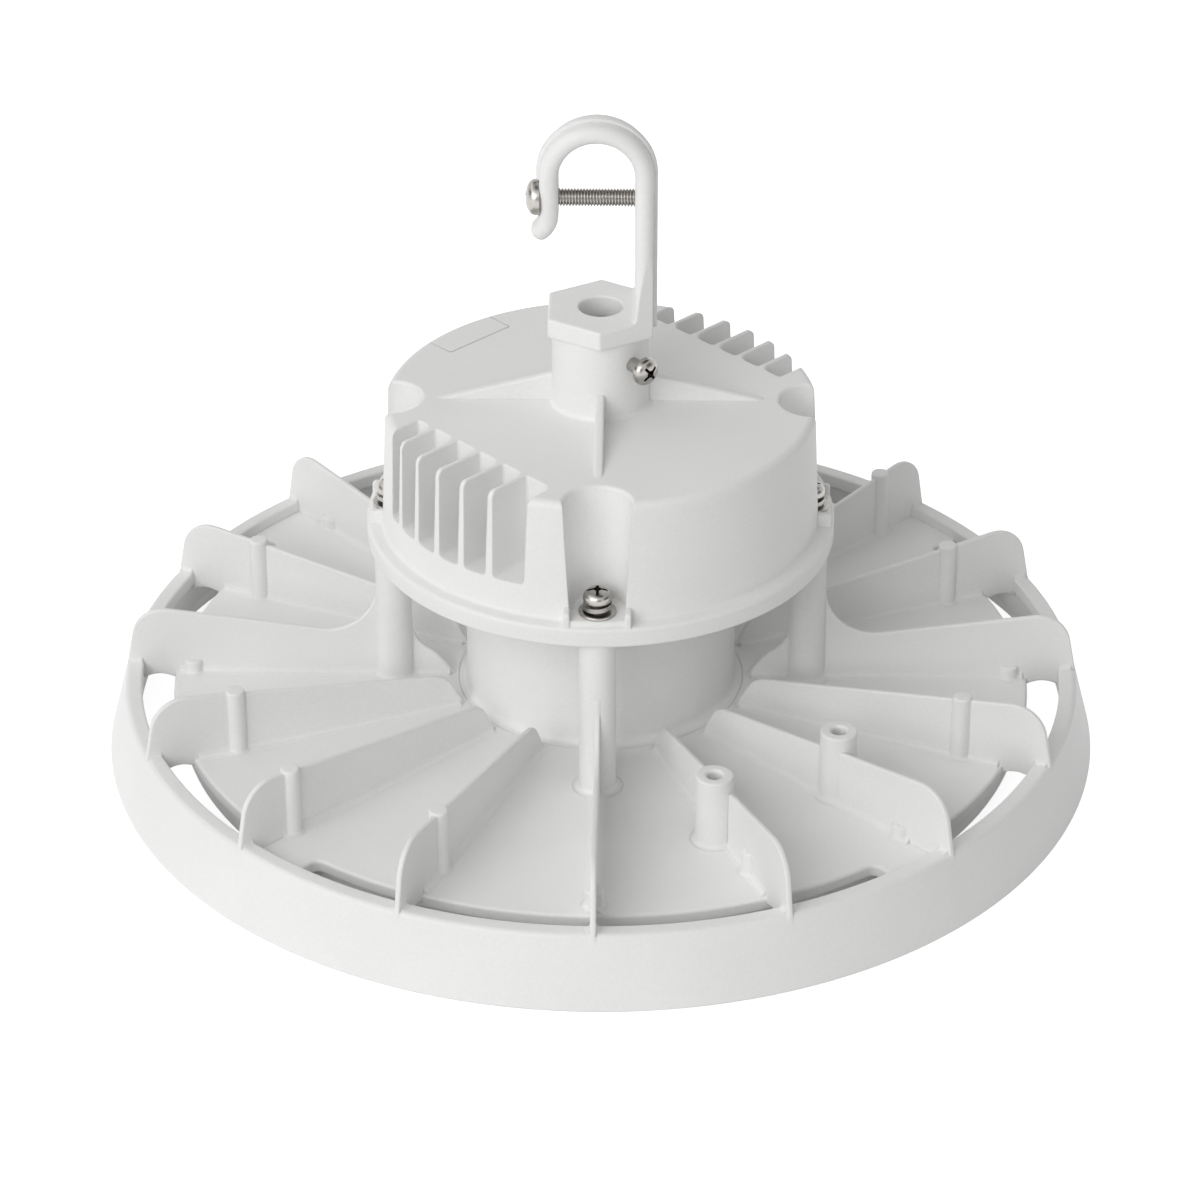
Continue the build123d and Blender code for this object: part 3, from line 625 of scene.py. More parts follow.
# The piece, copied evenly round the main axis
def spread(made, count, firstAngle=0.0, sharp=32.0):
    values = {
        "Count": count,
        "First angle": math.radians(firstAngle),
        "Step": 2 * math.pi / count,
        "Material": made.data.materials[0],
    }
    return grown(made, roundTheAxis, values, sharp)


# A wound bar from its two radii, its turns, the rise of its middle and its width at each radius
def wound(name, radii, turns, rise, widths, material, sharp):
    made = meshObject(name, lathe([(0, 0), (1, 0), (0, 1)], 8), material)
    values = {
        "Middle radius": sum(radii) / 2 * mm,
        "Turns": float(turns),
        "Rise": rise * mm,
        "Inner width": widths[0] * mm,
        "Outer width": widths[1] * mm,
        "Depth": (radii[1] - radii[0]) * mm,
        "Material": material,
    }
    return grown(made, woundBar, values, sharp)


# Joins objects into one piece at the origin
def combined(name, parts):
    whole = bmesh.new()
    materials = []
    for part in parts:
        start = len(whole.faces)
        for material in part.data.materials:
            if material not in materials:
                materials.append(material)
        numbers = [materials.index(material) for material in part.data.materials]
        whole.from_mesh(part.data)
        whole.faces.ensure_lookup_table()
        for face in whole.faces[start:]:
            face.material_index = numbers[face.material_index]
    mesh = bpy.data.meshes.new(name)
    whole.to_mesh(mesh)
    whole.free()
    for material in materials:
        mesh.materials.append(material)
    made = placed(name, mesh)
    for part in parts:
        bpy.data.objects.remove(part)
    return made


print("tools ready")

sink = {
    "footR": 170.0,
    "height": 25.5,
    "topR": 163.4,
    "innerR": 157.8,
    "footWidth": 4.4,
    "ledge": 1.4,
    "ledgeDrop": 1.2,
    "ledgeDepth": 7.0,
    "plateTop": 21.6,
    "plateUnder": 17.2,
    "plateR": 147.0,
    "plateEdge": 1.1,
    "underEdge": 0.5,
    "endSlots": ((-38, 76), (142, 76)),  # start and width, from the front to the right
    "sideSlot": (45, 126.5),  # start and end on each side, from the front
    "slotRound": 2.9,
    "rimLap": 0.9,  # how far the plate runs into the skirt
    "neckR": 46.0,
    "neckBore": 40.0,
    "neckTop": 78.5,
    "neckFlare": (3.0, 2.9),  # of a flare: its step out and the radius of its hollow
    "deck": 80.0,
    "pillarR": 6.1,
    "pillarRing": 70.9,
    "pillarFoot": 16.0,
    "pillarFlare": (2.2, 2.1),
}
fin = {
    "step": 22.5,
    "thick": 1.9,
    "edge": 0.55,
    "inner": 50.3,
    "rise": 11.0,  # height at the inner end
    "peak": 26.4,  # height at the outer end
    "lean": 4.6,
    "shoulderRound": 11.5,
    "noseRun": 6.6,
    "noseRound": 8.0,
    "root": 3.4,
    "lap": 1.5,
    "archRise": 2.2,
    "footRound": 2.0,
    "ringRound": 1.3,
    "webRise": 37.0,  # from here on, only the fins that carry a pillar
    "webRound": 17.0,
    "heelRise": 13.5,
    "heelRound": 12.0,
    "toeRise": 8.3,
}


# Height of a fin's top edge
def finTop(r):
    slope = (fin["peak"] - fin["rise"]) / (sink["topR"] - fin["inner"])
    return sink["plateTop"] + fin["rise"] + slope * (r - fin["inner"])


finHalf = fin["thick"] / 2


# Side view of a fin, with its arched lower edge over the slot
def finSide(onPillar):
    plateTop = sink["plateTop"]
    footZ = sink["height"] - 2.0  # below the ring's top, so that the two overlap
    footR = sink["footR"] - (sink["footR"] - sink["topR"]) * footZ / sink["height"]
    rootZ = plateTop - fin["root"]
    innerLap, outerLap = sink["plateR"] - fin["lap"], sink["innerR"] + fin["lap"]
    shoulderR = footR - fin["lean"]
    noseR = fin["inner"] + fin["noseRun"]
    corners = [(outerLap, rootZ), (footR, rootZ), (footR, footZ)]
    corners.append((shoulderR, finTop(shoulderR), fin["shoulderRound"]))
    if onPillar:
        outer = sink["pillarRing"] + sink["pillarR"]
        inner = sink["pillarRing"] - sink["pillarR"]
        webTop = plateTop + fin["webRise"]
        corners += [(outer, finTop(outer), fin["webRound"]), (outer, webTop), (inner, webTop)]
        corners.append((inner, plateTop + fin["heelRise"], fin["heelRound"]))
        corners.append((noseR, plateTop + fin["toeRise"], fin["noseRound"]))
    else:
        corners.append((noseR, finTop(noseR), fin["noseRound"]))
    corners += [(fin["inner"], plateTop), (fin["inner"], rootZ), (innerLap, rootZ)]
    arch = []
    for share in shares(10)[1:-1]:
        z = rootZ + fin["archRise"] * math.sin(math.pi * share)
        arch.append((between(innerLap, outerLap, share), z))
    return roundedOutline(corners, 7.0) + arch


# Hollow round along both sides of a fin's foot; its flat underside lies inside the casting
def footRound(innerR, outerR, size, z):
    side = [(finHalf + size * out, z + size * up) for out, up in quarterRound(5)]
    section = [(finHalf + size, z - 0.6)] + side + [(finHalf * 0.4, z + size)]
    section += [(-x, y) for x, y in section[::-1]]
    return skinned([[(r, x, y) for x, y in section] for r in (outerR, innerR)])


feet = [  # each stops short of the edges at its ends
    footRound(fin["inner"] + 1.5, sink["plateR"] - 1.4, fin["footRound"], sink["plateTop"]),
    footRound(sink["innerR"] + 0.4, sink["topR"] - 1.2, fin["ringRound"], sink["height"]),
]
plainSide, pillarSide = (
    upright(plate(finSide(onPillar), -finHalf, finHalf, fin["edge"], fin["edge"]))
    for onPillar in (False, True)
)
plainShell = joined([plainSide] + feet)
castParts = []
for number in (1, 2, 3):  # three plain fins between two pillars
    plainFin = meshObject("plain fins", turned(plainShell, fin["step"] * number), whiteCoat)
    castParts.append(spread(plainFin, 4))
pillarCorners = flaredFoot(
    0, sink["pillarR"], sink["pillarFoot"], sink["plateTop"], sink["pillarFlare"]
)
pillarCorners += [(sink["pillarR"], sink["deck"]), (0, sink["deck"])]
pillar = shifted(latheRounded(pillarCorners, 15, 48), x=sink["pillarRing"])
pillarShell = joined([pillarSide, pillar] + feet)
castParts.append(spread(meshObject("fins with pillars", pillarShell, whiteCoat), 4))

ledgeR, ledgeTop = sink["innerR"] + sink["ledge"], sink["plateTop"] - sink["ledgeDrop"]
ledgeLow = sink["plateUnder"] - sink["ledgeDepth"]
skirtCorners = [
    (sink["footR"] - sink["footWidth"], 0, 0.6),
    (sink["footR"], 0, 0.8),
    (sink["topR"], sink["height"], 2.0),
    (sink["innerR"], sink["height"], 0.7),
    (sink["innerR"], ledgeTop, 0.2),
    (ledgeR, ledgeTop),
    (ledgeR, ledgeLow),
    (sink["innerR"] + 2 * sink["ledge"], ledgeLow),
]
skirt = latheRounded(skirtCorners, 15, 256)


# Plate from above: its rim steps out to the skirt between the slots
def slottedPlate():
    rim, reach, small = sink["plateR"], sink["innerR"] + sink["rimLap"], sink["slotRound"]
    start, end = sink["sideSlot"]
    spans = [*sink["endSlots"], (start, end - start), (-end, end - start)]
    spans = sorted(((start + 360) % 360, width) for start, width in spans)
    outline = []

    def addPoint(radius, angle):
        outline.append(polar(radius, frontAngle + angle))

    pointStep = 1.8  # degrees
    corner = math.degrees(small / rim)
    for number, (start, width) in enumerate(spans):
        end = start + width
        addPoint(reach, start)
        for out, along in quarterRound(4):
            addPoint(rim + small * out, start + corner * along)
        count = max(2, int(width / pointStep))
        for k in range(1, count):
            addPoint(rim, start + corner + (width - 2 * corner) * k / count)
        for out, along in quarterRound(4)[::-1]:
            addPoint(rim + small * out, end - corner * along)
        addPoint(reach, end)
        following = spans[(number + 1) % len(spans)][0]
        land = (following - end) % 360
        count = max(1, int(land / pointStep))
        for k in range(1, count):
            addPoint(reach, end + land * k / count)
    return outline


sinkPlate = plate(
    slottedPlate(),
    sink["plateUnder"],
    sink["plateTop"],
    sink["underEdge"],
    sink["plateEdge"],
    4,
)
neckCorners = flaredFoot(
    sink["neckBore"], sink["neckR"], sink["plateUnder"] + 1, sink["plateTop"], sink["neckFlare"]
)
neckCorners += [(sink["neckR"], sink["neckTop"], 0.5), (sink["neckBore"], sink["neckTop"], 0.5)]
neck = latheRounded(neckCorners, 15, 128)

pins = {
    "r": 3.2,
    "proud": 1.2,
    "flare": (1.1, 1.05),
    "edge": 0.7,
    "oddRing": 131.5,
    "evenRing": 140.8,
    "full": (3, 5, 6, 7, 9, 11, 13, 14, 15),  # fins counted from the front to the right
    "low": {0: 6.2, 1: 8.6, 2: 4.6, 4: 4.6, 8: 4.6, 10: 4.6, 12: 4.6},  # fin and height
}
bosses = {
    "r": 6.15,
    "height": 24.8,
    "flare": (1.6, 1.5),
    "edge": 0.6,
    "hole": 2.5,
    "mouth": 3.15,
    "mouthDepth": 0.65,
    "depth": 16.0,
    "ring": 109.0,
    "middle": -56.25,
    "spread": 13.1,
}
embedded = 2.0  # how far below the plate's top a pin or a boss starts


# Round pin on the plate, flared at its foot and soft at its top
def pin(height):
    z = sink["plateTop"]
    corners = flaredFoot(0, pins["r"], z - embedded, z, pins["flare"])
    corners += [(pins["r"], z + height, pins["edge"]), (0, z + height)]
    return latheRounded(corners, 18, 32)


castShells = [skirt, sinkPlate, neck]
for number in range(16):
    ring = pins["oddRing"] if number % 2 else pins["evenRing"]
    if number in pins["full"]:
        tall = finTop(ring) + pins["proud"] - sink["plateTop"]
    else:
        tall = pins["low"][number]
    castShells.append(turned(shifted(pin(tall), x=ring), frontAngle + number * fin["step"]))
bossTop = sink["plateTop"] + bosses["height"]
bossCorners = flaredFoot(
    0, bosses["r"], sink["plateTop"] - embedded, sink["plateTop"], bosses["flare"]
)
bossCorners += [
    (bosses["r"], bossTop, bosses["edge"]),
    (bosses["mouth"], bossTop, 0.15),
    (bosses["hole"], bossTop - bosses["mouthDepth"]),
    (bosses["hole"], bossTop - bosses["depth"]),
    (0, bossTop - bosses["depth"]),
]
boss = shifted(latheRounded(bossCorners, 15, 48), x=bosses["ring"])
for side in (-1, 1):
    castShells.append(turned(boss, bosses["middle"] + side * bosses["spread"]))
castParts.insert(0, meshObject("ring, plate and pins", joined(castShells), whiteCoat))
heatSink = combined("heat_sink_casting", castParts)
evened(heatSink, sharp=32)
handOver(heatSink, ["heat_sink"])
print("heat sink cast")

case = {
    "foot": 80.0,
    "flangeR": 79.0,
    "flangeTop": 86.8,
    "flangeEdge": 1.4,
    "flangeHollow": 1.3,
    "wallFoot": 73.9,
    "wallTop": 72.4,
    "top": 129.5,
    "topEdge": 2.8,
    "roof": 4.0,
    "cavity": 50.0,
    "lidSeat": 63.65,
    "lidDepth": 4.5,
    "padInner": 60.0,
    "padInset": 1.2,
    "padTop": 88.8,
    "padEdge": 1.3,
    "lugInner": 68.0,
    "lugInset": 0.6,
    "lugTop": 91.6,
    "lugThick": 2.2,
    "lugSpacing": 20.0,
    "lugCorner": 1.4,
    "lugEdge": 0.5,
    "scoopTop": 11.2,
    "scoopFoot": 9.3,
    "scoopRim": 1.3,
    "scoopHollow": 0.9,
    "stemR": 16.2,
    "stemLow": 124.0,
    "stemTop": 157.2,
    "stemFlare": (1.7, 1.6),
    "bore": 7.25,
    "gussetInner": 12.0,
    "gussetLow": 126.0,
    "gussetReach": 54.5,
    "gussetRise": 9.8,
    "gussetThick": 3.0,
    "gussetEdge": 0.8,
    "finThick": 1.7,  # at the top; the slots narrow by the draft on each side
    "slotInner": 54.0,
    "slotFloor": 98.0,
    "slotCorner": 3.5,
    "slotDraft": 0.5,
    "slotHollow": 1.4,
    "slotRim": 0.6,
    "finBanks": {  # direction of a bank: its two ends and the middles of its fins
        -135: ((-31.0, 32.6), (-23.4, -12.5, -1.6, 9.4, 20.4)),
        45: ((-31.0, 31.0), (-21.4, -10.7, 0.0, 10.7, 21.4)),
    },
    "blankInner": 58.8,
    "blankWidth": 27.8,
    "blankDepth": 3.4,
    "blankAngle": 135,
    "blankGap": 0.24,
    "blankPlay": 0.15,
}
belowRoof, aboveTop, pastWall = 120.0, 140.0, 90.0  # where cutters end, clear of the casting
cavityTop = case["top"] - case["roof"]
lidTop = case["foot"] + case["lidDepth"]
topCorners = [(case["wallTop"], case["top"], case["topEdge"]), (0, case["top"])]
housingCorners = [
    (0, cavityTop),
    (case["cavity"], cavityTop, 1.0),
    (case["cavity"], lidTop),
    (case["lidSeat"], lidTop),
    (case["lidSeat"], case["foot"]),
    (case["flangeR"], case["foot"], 0.6),
    (case["flangeR"], case["flangeTop"], case["flangeEdge"]),
    (case["wallFoot"], case["flangeTop"], case["flangeHollow"]),
]
housingShell = latheRounded(housingCorners + topCorners, 9, 256)
housing = meshObject("driver_housing_casting", housingShell, whiteCoat)
steps = []


# Outline of a pad seen from above, bounded by a circle round the main axis
def sector(inner, outer, halfWidth):
    reach = math.degrees(math.asin(halfWidth / outer))
    arc = [polar(outer, reach * (2 * share - 1)) for share in shares(8)]
    return [(inner, -halfWidth), *arc, (inner, halfWidth)]


lugHalf = case["lugSpacing"] / 2
padLow = case["foot"] + 1
padOutline = sector(case["padInner"], case["flangeR"] - case["padInset"], lugHalf)
pad = plate(padOutline, padLow, case["padTop"], 0, case["padEdge"], 5)
lugReach = math.sqrt((case["flangeR"] - case["lugInset"]) ** 2 - lugHalf**2)
lugCorners = [
    (case["lugInner"], padLow),
    (lugReach, padLow),
    (lugReach, case["lugTop"], case["lugCorner"]),
    (case["lugInner"], case["lugTop"]),
]
lugSide = roundedOutline(lugCorners)
for quarter in range(4):
    steps.append(("add", turned(pad, 90 * quarter)))
    for side in (-1, 1):
        low = side * lugHalf - case["lugThick"] / 2
        lug = plate(lugSide, low, low + case["lugThick"], case["lugEdge"], case["lugEdge"])
        steps.append(("add", upright(lug, 90 * quarter)))
steps.append(("cut", lathe(rod(case["bore"], belowRoof, aboveTop), 96)))
stemCorners = flaredFoot(
    case["bore"], case["stemR"], case["stemLow"], case["top"], case["stemFlare"]
)
stemCorners += [(case["stemR"], case["stemTop"], 0.7), (case["bore"], case["stemTop"], 0.5)]
steps.append(("add", latheRounded(stemCorners, 15, 96)))
gussetTop = case["top"] + case["gussetRise"]
gussetSide = [
    (case["gussetInner"], case["gussetLow"]),
    (case["gussetReach"], case["gussetLow"]),
    (case["gussetReach"], case["top"] + 0.05, 0.2),
    (case["stemR"], gussetTop, 0.8),
    (case["gussetInner"], gussetTop),
]
gussetHalf, gussetEdge = case["gussetThick"] / 2, case["gussetEdge"]
gusset = plate(roundedOutline(gussetSide), -gussetHalf, gussetHalf, gussetEdge, gussetEdge)
for quarter in range(4):
    steps.append(("add", upright(gusset, 90 * quarter)))

lean = (case["scoopTop"] - case["scoopFoot"]) / (case["top"] - case["padTop"])
rim = case["scoopRim"]
scoopCorners = [
    (case["scoopFoot"] - 2, case["padTop"]),
    (case["scoopFoot"], case["padTop"], case["scoopHollow"]),
    (case["scoopTop"] - lean * rim, case["top"] - rim),
]
scoopProfile = [(0, case["padTop"])] + roundedOutline(scoopCorners)
for down, out in quarterRound(5):
    scoopProfile.append((case["scoopTop"] + rim * out, case["top"] - rim * down))
scoopProfile += [(case["scoopTop"] + rim, aboveTop), (0, aboveTop)]
scoop = shifted(lathe(scoopProfile, 96), x=sink["pillarRing"])
for quarter in range(4):
    steps.append(("cut", turned(scoop, 90 * quarter)))


# Cutter for a slot: rounded at its floor, and widened at the top for a soft rim
def flaredSlot(outline):
    floor, foot, soft = case["slotFloor"], case["slotHollow"], case["slotRim"]
    curve, draft = quarterRound(4), case["slotDraft"]
    levels = [(floor + foot * up, draft + foot * inset) for up, inset in curve[::-1]]
    levels += [(case["top"] - soft * down, -soft * out) for down, out in curve]
    levels.append((aboveTop, -soft))
    outline = turnedLeft(outline)
    return skinned([[(x, y, z) for x, y in insetOutline(outline, inset)] for z, inset in levels])


for angle, (ends, fins) in case["finBanks"].items():
    lows = [ends[0]] + [middle + case["finThick"] / 2 for middle in fins]
    highs = [middle - case["finThick"] / 2 for middle in fins] + [ends[1]]
    for low, high in zip(lows, highs):
        outline = [
            (case["slotInner"], low, 0.8),
            (pastWall, low),
            (pastWall, high),
            (case["slotInner"], high, case["slotCorner"]),
        ]
        steps.append(("cut", turned(flaredSlot(roundedOutline(outline)), angle)))


# The recess for the blank plate, or the room that the plate itself fills, with its gap
def blankShell(gap, low, corner):
    inner, wide = case["blankInner"] + gap, case["blankWidth"] / 2 - gap
    outline = [(inner, -wide, corner), (pastWall, -wide), (pastWall, wide), (inner, wide, corner)]
    return turned(plate(roundedOutline(outline), low, aboveTop), case["blankAngle"])


recessFloor = case["top"] - case["blankDepth"]
steps.append(("cut", blankShell(0, recessFloor, 0.9)))
worked(housing, steps)
evened(housing, sharp=30)
handOver(housing, ["driver_housing"])

blankLow = recessFloor + case["blankPlay"]
blankSlab = latheRounded([(0, blankLow), (case["wallTop"] + 0.1, blankLow)] + topCorners, 9, 256)
blank = meshObject("top_blank", blankSlab, whiteCoat)
worked(blank, [("keep", blankShell(case["blankGap"], belowRoof, 0.8))])
evened(blank, sharp=30)
handOver(blank, ["top_blank_plate"])
print("driver housing cast")

loop = {
    "hexFlats": 34.6,
    "hexLow": 157.2,
    "hexTop": 164.0,
    "hexCorner": 1.0,
    "hexEdges": (0.6, 0.9),  # below and above
    "bore": 7.25,
    "boreEdge": 0.7,
    "threadR": 13.2,
    "threadLow": 141.2,
    "bendX": -1.25,
    "bendZ": 212.5,
    "middleR": 15.55,
    "halfBar": 3.15,
    "rootDrop": 4.6,
    "rootRound": 1.3,
    "rootTrim": (150.0, 208.0),  # heights between which the hexagon's sides trim the bar
    "depths": {"root": 14.8, "bend": 7.0, "leg": 5.4, "tip": 4.6},  # half depths of the bar
    "leg": 14.2,
    "tipR": 8.0,
    "tipTurn": 50.0,
    "endTurn": 84.0,  # how far round the tip's end closes
    "ribRise": 1.2,
    "ribHalf": 1.5,
    "ribEnd": ((0.9, 1.15), (1.6, 0.95), (2.1, 0.6), (2.4, 0.1)),  # way down the leg and rise
}


# Section of the bar as (depth, outwards): flat sides between two half rounds
def barSection(halfDepth, halfBar, count=20):
    section = []
    flat = halfDepth - halfBar
    for side in (1, -1):
        for at in range(count + 1):
            angle = math.pi * at / count - math.pi / 2
            depth = flat + halfBar * math.cos(angle)
            section.append((side * depth, side * halfBar * math.sin(angle)))
    return section


# Skin through stations in the hook's plane, each (x, z, direction of its outer side, section)
def alongHook(stations):
    loops = []
    for x, z, turn, section in stations:
        c, s = polar(1, turn)
        loops.append([(x + out * c, depth, z + out * s) for depth, out in section])
    return skinned(loops)


rootZ = loop["hexTop"] - loop["rootDrop"]
depths = loop["depths"]
legX, mouthX = loop["bendX"] + loop["middleR"], loop["bendX"] - loop["middleR"]
legLow = loop["bendZ"] - loop["leg"]
bar = []


def addStation(x, z, turn, depth, share=1.0):
    bar.append((x, z, turn, barSection(depth * share, loop["halfBar"] * share)))


for share in shares(16):  # long leg, from its root up to the bend
    depth = between(depths["root"], depths["bend"], share)
    addStation(legX, between(rootZ, loop["bendZ"], share), 0.0, depth)
for share in shares(40)[1:]:
    x, z = polar(loop["middleR"], 180 * share)
    addStation(loop["bendX"] + x, loop["bendZ"] + z, 180 * share, depths["bend"])
for share in shares(6)[1:]:  # short leg
    depth = between(depths["bend"], depths["leg"], share)
    addStation(mouthX, between(loop["bendZ"], legLow, share), 180.0, depth)
for share in shares(8)[1:]:  # tip, bent outwards
    turn = loop["tipTurn"] * share
    along, down = polar(loop["tipR"], turn)
    depth = between(depths["leg"], depths["tip"], share)
    addStation(mouthX - loop["tipR"] + along, legLow - down, 180 - turn, depth)
endX, endZ, endWay = bar[-1][:3]
downwards, outwards = polar(1, loop["tipTurn"])
for share in shares(8)[1:]:  # round end
    left, reach = polar(1, loop["endTurn"] * share)
    reach *= loop["halfBar"]
    addStation(endX - outwards * reach, endZ - downwards * reach, endWay, depths["tip"], left)
hook = meshObject("hook_casting", alongHook(bar), whiteCoat)

rootStations = []
for out, up in quarterRound(6):  # hollow round where the bar stands on the hexagon
    z = loop["hexTop"] + loop["rootRound"] * up
    depth = between(depths["root"], depths["bend"], (z - rootZ) / (loop["bendZ"] - rootZ))
    more = loop["rootRound"] * out - 0.02
    rootStations.append((legX, z, 0.0, barSection(depth + more, loop["halfBar"] + more)))
low = rootStations[0]
rootStations.insert(0, (low[0], low[1] - 1.5, low[2], low[3]))
hookSteps = [("add", alongHook(rootStations))]
hexHalf = loop["hexFlats"] / 2
farOut = hexHalf + 30
trim = plate([(hexHalf, -30), (farOut, -30), (farOut, 30), (hexHalf, 30)], *loop["rootTrim"])
for angle in (0, 60, -60):  # the three sides of the hexagon that the bar stands over
    hookSteps.append(("cut", turned(trim, angle)))


# Section of the rib on the bar's outer side
def ribSection(rise):
    half = loop["ribHalf"]
    right = [(half, -1.2), (half, rise - 0.5), (half * 0.85, rise - 0.15), (half * 0.5, rise)]
    return [(-x, y) for x, y in right] + right[::-1]


ribR = loop["middleR"] + loop["halfBar"]
wholeRib = ribSection(loop["ribRise"])
rib = []
for share in shares(11):
    z = between(loop["hexLow"], loop["bendZ"], share)
    rib.append((loop["bendX"] + ribR, z, 0.0, wholeRib))
for share in shares(40)[1:]:
    x, z = polar(ribR, 180 * share)
    rib.append((loop["bendX"] + x, loop["bendZ"] + z, 180 * share, wholeRib))
for drop, rise in loop["ribEnd"]:
    rib.append((loop["bendX"] - ribR, loop["bendZ"] - drop, 180.0, ribSection(rise)))

hexCorners = []
for number in range(6):
    x, y = polar(hexHalf / math.cos(math.pi / 6), 30 + 60 * number)
    hexCorners.append((x, y, loop["hexCorner"]))
hexOutline = roundedOutline(hexCorners, 12)
hexagon = plate(hexOutline, loop["hexLow"], loop["hexTop"], *loop["hexEdges"], 4)
threadR, threadLow, threadTop = loop["threadR"], loop["threadLow"], loop["hexLow"] + 1
threadCorners = [(0, threadLow), (threadR, threadLow, 0.8), (threadR, threadTop), (0, threadTop)]
hollowThread = latheRounded(threadCorners, 11, 64)
cutLow, cutHigh = threadLow - 1.2, loop["hexTop"] + 6
cableBore = [(0, cutLow), (loop["bore"], cutLow), (loop["bore"], loop["hexTop"] - loop["boreEdge"])]
for down, out in quarterRound(6)[1:]:
    r = loop["bore"] + loop["boreEdge"] * out
    cableBore.append((r, loop["hexTop"] - loop["boreEdge"] * down))
cableBore += [(loop["bore"] + loop["boreEdge"], cutHigh), (0, cutHigh)]
hookSteps += [("add", alongHook(rib)), ("add", hexagon), ("add", hollowThread)]
hookSteps.append(("cut", lathe(cableBore, 96)))


# Matrix that puts a seat at a point, with +Z pointing the way the head looks
def facing(point, outward, spin=0.0):
    turn = Vector(outward).normalized().to_track_quat("Z", "Y").to_matrix().to_4x4()
    return Matrix.Translation(point) @ turn @ Matrix.Rotation(math.radians(spin), 4, "Z")


closing = {
    "seatX": -19.75,
    "z": 203.7,
    "headR": 6.0,
    "headHeight": 4.8,
    "shankR": 3.0,
    "pitch": 1.0,
    "length": 34.9,
    "arm": 2.9,
    "spin": 45,
    "spotR": 6.3,
    "spotHeight": 6.0,
    "holeR": 3.15,
    "holeDepth": 35.2,
}
closingPlace = facing((closing["seatX"], 0, closing["z"]), (-1, 0, 0), closing["spin"])
spotFace = rod(closing["spotR"], 0, closing["spotHeight"])
for profile in (spotFace, rod(closing["holeR"], -closing["holeDepth"], 2)):
    hookSteps.append(("cut", moved(lathe(profile, 48), closingPlace)))
worked(hook, hookSteps)
evened(hook, sharp=34)
handOver(hook, ["hook"])
print("hook cast")

cross = {
    "above": 0.6,
    "spread": 0.1,
    "drop": 0.3,
    "halfWidths": (0.52, 0.46, 0.34),  # at the top, at the arms' ends and at the floor
    "floorArm": 0.42,  # share of the arm's length
    "depth": 0.62,  # share of the head's height
    "middle": (1.35, 1.05),  # radius at the top and near the floor
}
dome = {"side": 0.26, "fullness": 2.25}  # share of the height that is upright, and roundness
thread = {  # shares of the pitch
    "depth": 0.61,
    "root": 0.92,
    "crest": 0.3,  # a real crest is an eighth of the pitch, too thin to show
}


# Cross that is cut into a head: narrow arms with steep ends, and a deeper round middle
def crossCutters(arm, drop, depth):
    top, end, floor = cross["halfWidths"]
    levels = (
        (cross["above"], arm + cross["spread"], top),
        (-drop - cross["drop"], arm, end),
        (-depth, arm * cross["floorArm"], floor),
    )
    loops = [[(x * long, y * wide, z) for x, y in squareCorners] for z, long, wide in levels]
    arms = skinned(loops)
    topR, lowR = cross["middle"]
    middle = [(0, cross["above"]), (topR, cross["above"]), (lowR, -depth * 0.7)]
    middle.append((0, -depth - cross["drop"]))
    return [arms, turned(arms, 90), lathe(middle, 24)]


# Moves a mesh that is in metres by a matrix whose shift is in millimetres
def putAt(made, placing):
    shift = Matrix.Translation(placing.translation * mm)
    made.data.transform(shift @ placing.to_3x3().to_4x4())


# Domed head with a cross, its seat at height 0
def domedHead(name, screw, placing):
    radius, height = screw["headR"], screw["headHeight"]
    side, fullness = height * dome["side"], dome["fullness"]

    def domeZ(r):
        return side + (height - side) * (1 - min(1, r / radius) ** fullness) ** (1 / fullness)

    profile = [(0, -0.3), (radius * 0.5, -0.3), (radius * 0.5, 0)]  # its root, inside the shank
    profile += roundedOutline([(radius * 0.5, 0), (radius, 0, 0.3), (radius, side * 0.8)])[1:]
    for at in range(17):
        r = radius * math.cos(math.pi / 2 * at / 16) if at < 16 else 0
        profile.append((r, domeZ(r)))
    head = meshObject(name, lathe(profile, 72), stainless)
    drop = height - domeZ(screw["arm"])
    cutters = crossCutters(screw["arm"], drop, height * cross["depth"])
    worked(head, [("cut", shifted(shell, z=height)) for shell in cutters])
    # Faces inside the cross get the steel painted dark: painted shade in the recess
    head.data.materials.append(paintedShadeSteel)
    for face in head.data.polygons:
        x, y, z = (c / mm for c in face.center)
        r = math.hypot(x, y)
        if r < screw["arm"] + 0.05 and 0.1 < z < domeZ(r) - 0.07:  # inside the cross
            face.material_index = 1
    putAt(head, placing)
    smoothMesh(head.data, sharp=28)
    return head


# Shank below the seat, bare or with its thread
def shank(name, screw, placing):
    r, length = screw["shankR"], screw["length"]
    pitch = screw.get("pitch", 0)
    core = r - thread["depth"] * pitch
    profile = roundedOutline([(0, -length), (core, -length, 0.4), (core, 0.05), (0, 0.05)], 30)
    parts = [meshObject(name, lathe(profile, 40), stainless)]
    if pitch:
        turns = int((length - pitch) / pitch)
        rise = turns * pitch
        root, crest = thread["root"] * pitch, thread["crest"] * pitch
        ridge = wound("thread", (core - 0.05, r), turns, rise, (root, crest), stainless, sharp=25)
        putAt(ridge, Matrix.Translation((0, 0, -rise - pitch / 2)))
        parts.append(ridge)
    for part in parts:
        putAt(part, placing)
    return parts


# A whole screw as one piece
def screwPiece(name, screw, placing):
    return combined(name, [domedHead("head", screw, placing)] + shank("shank", screw, placing))


hookScrew = screwPiece("hook_closing_screw", closing, closingPlace)
handOver(hookScrew, ["hook_screw"])

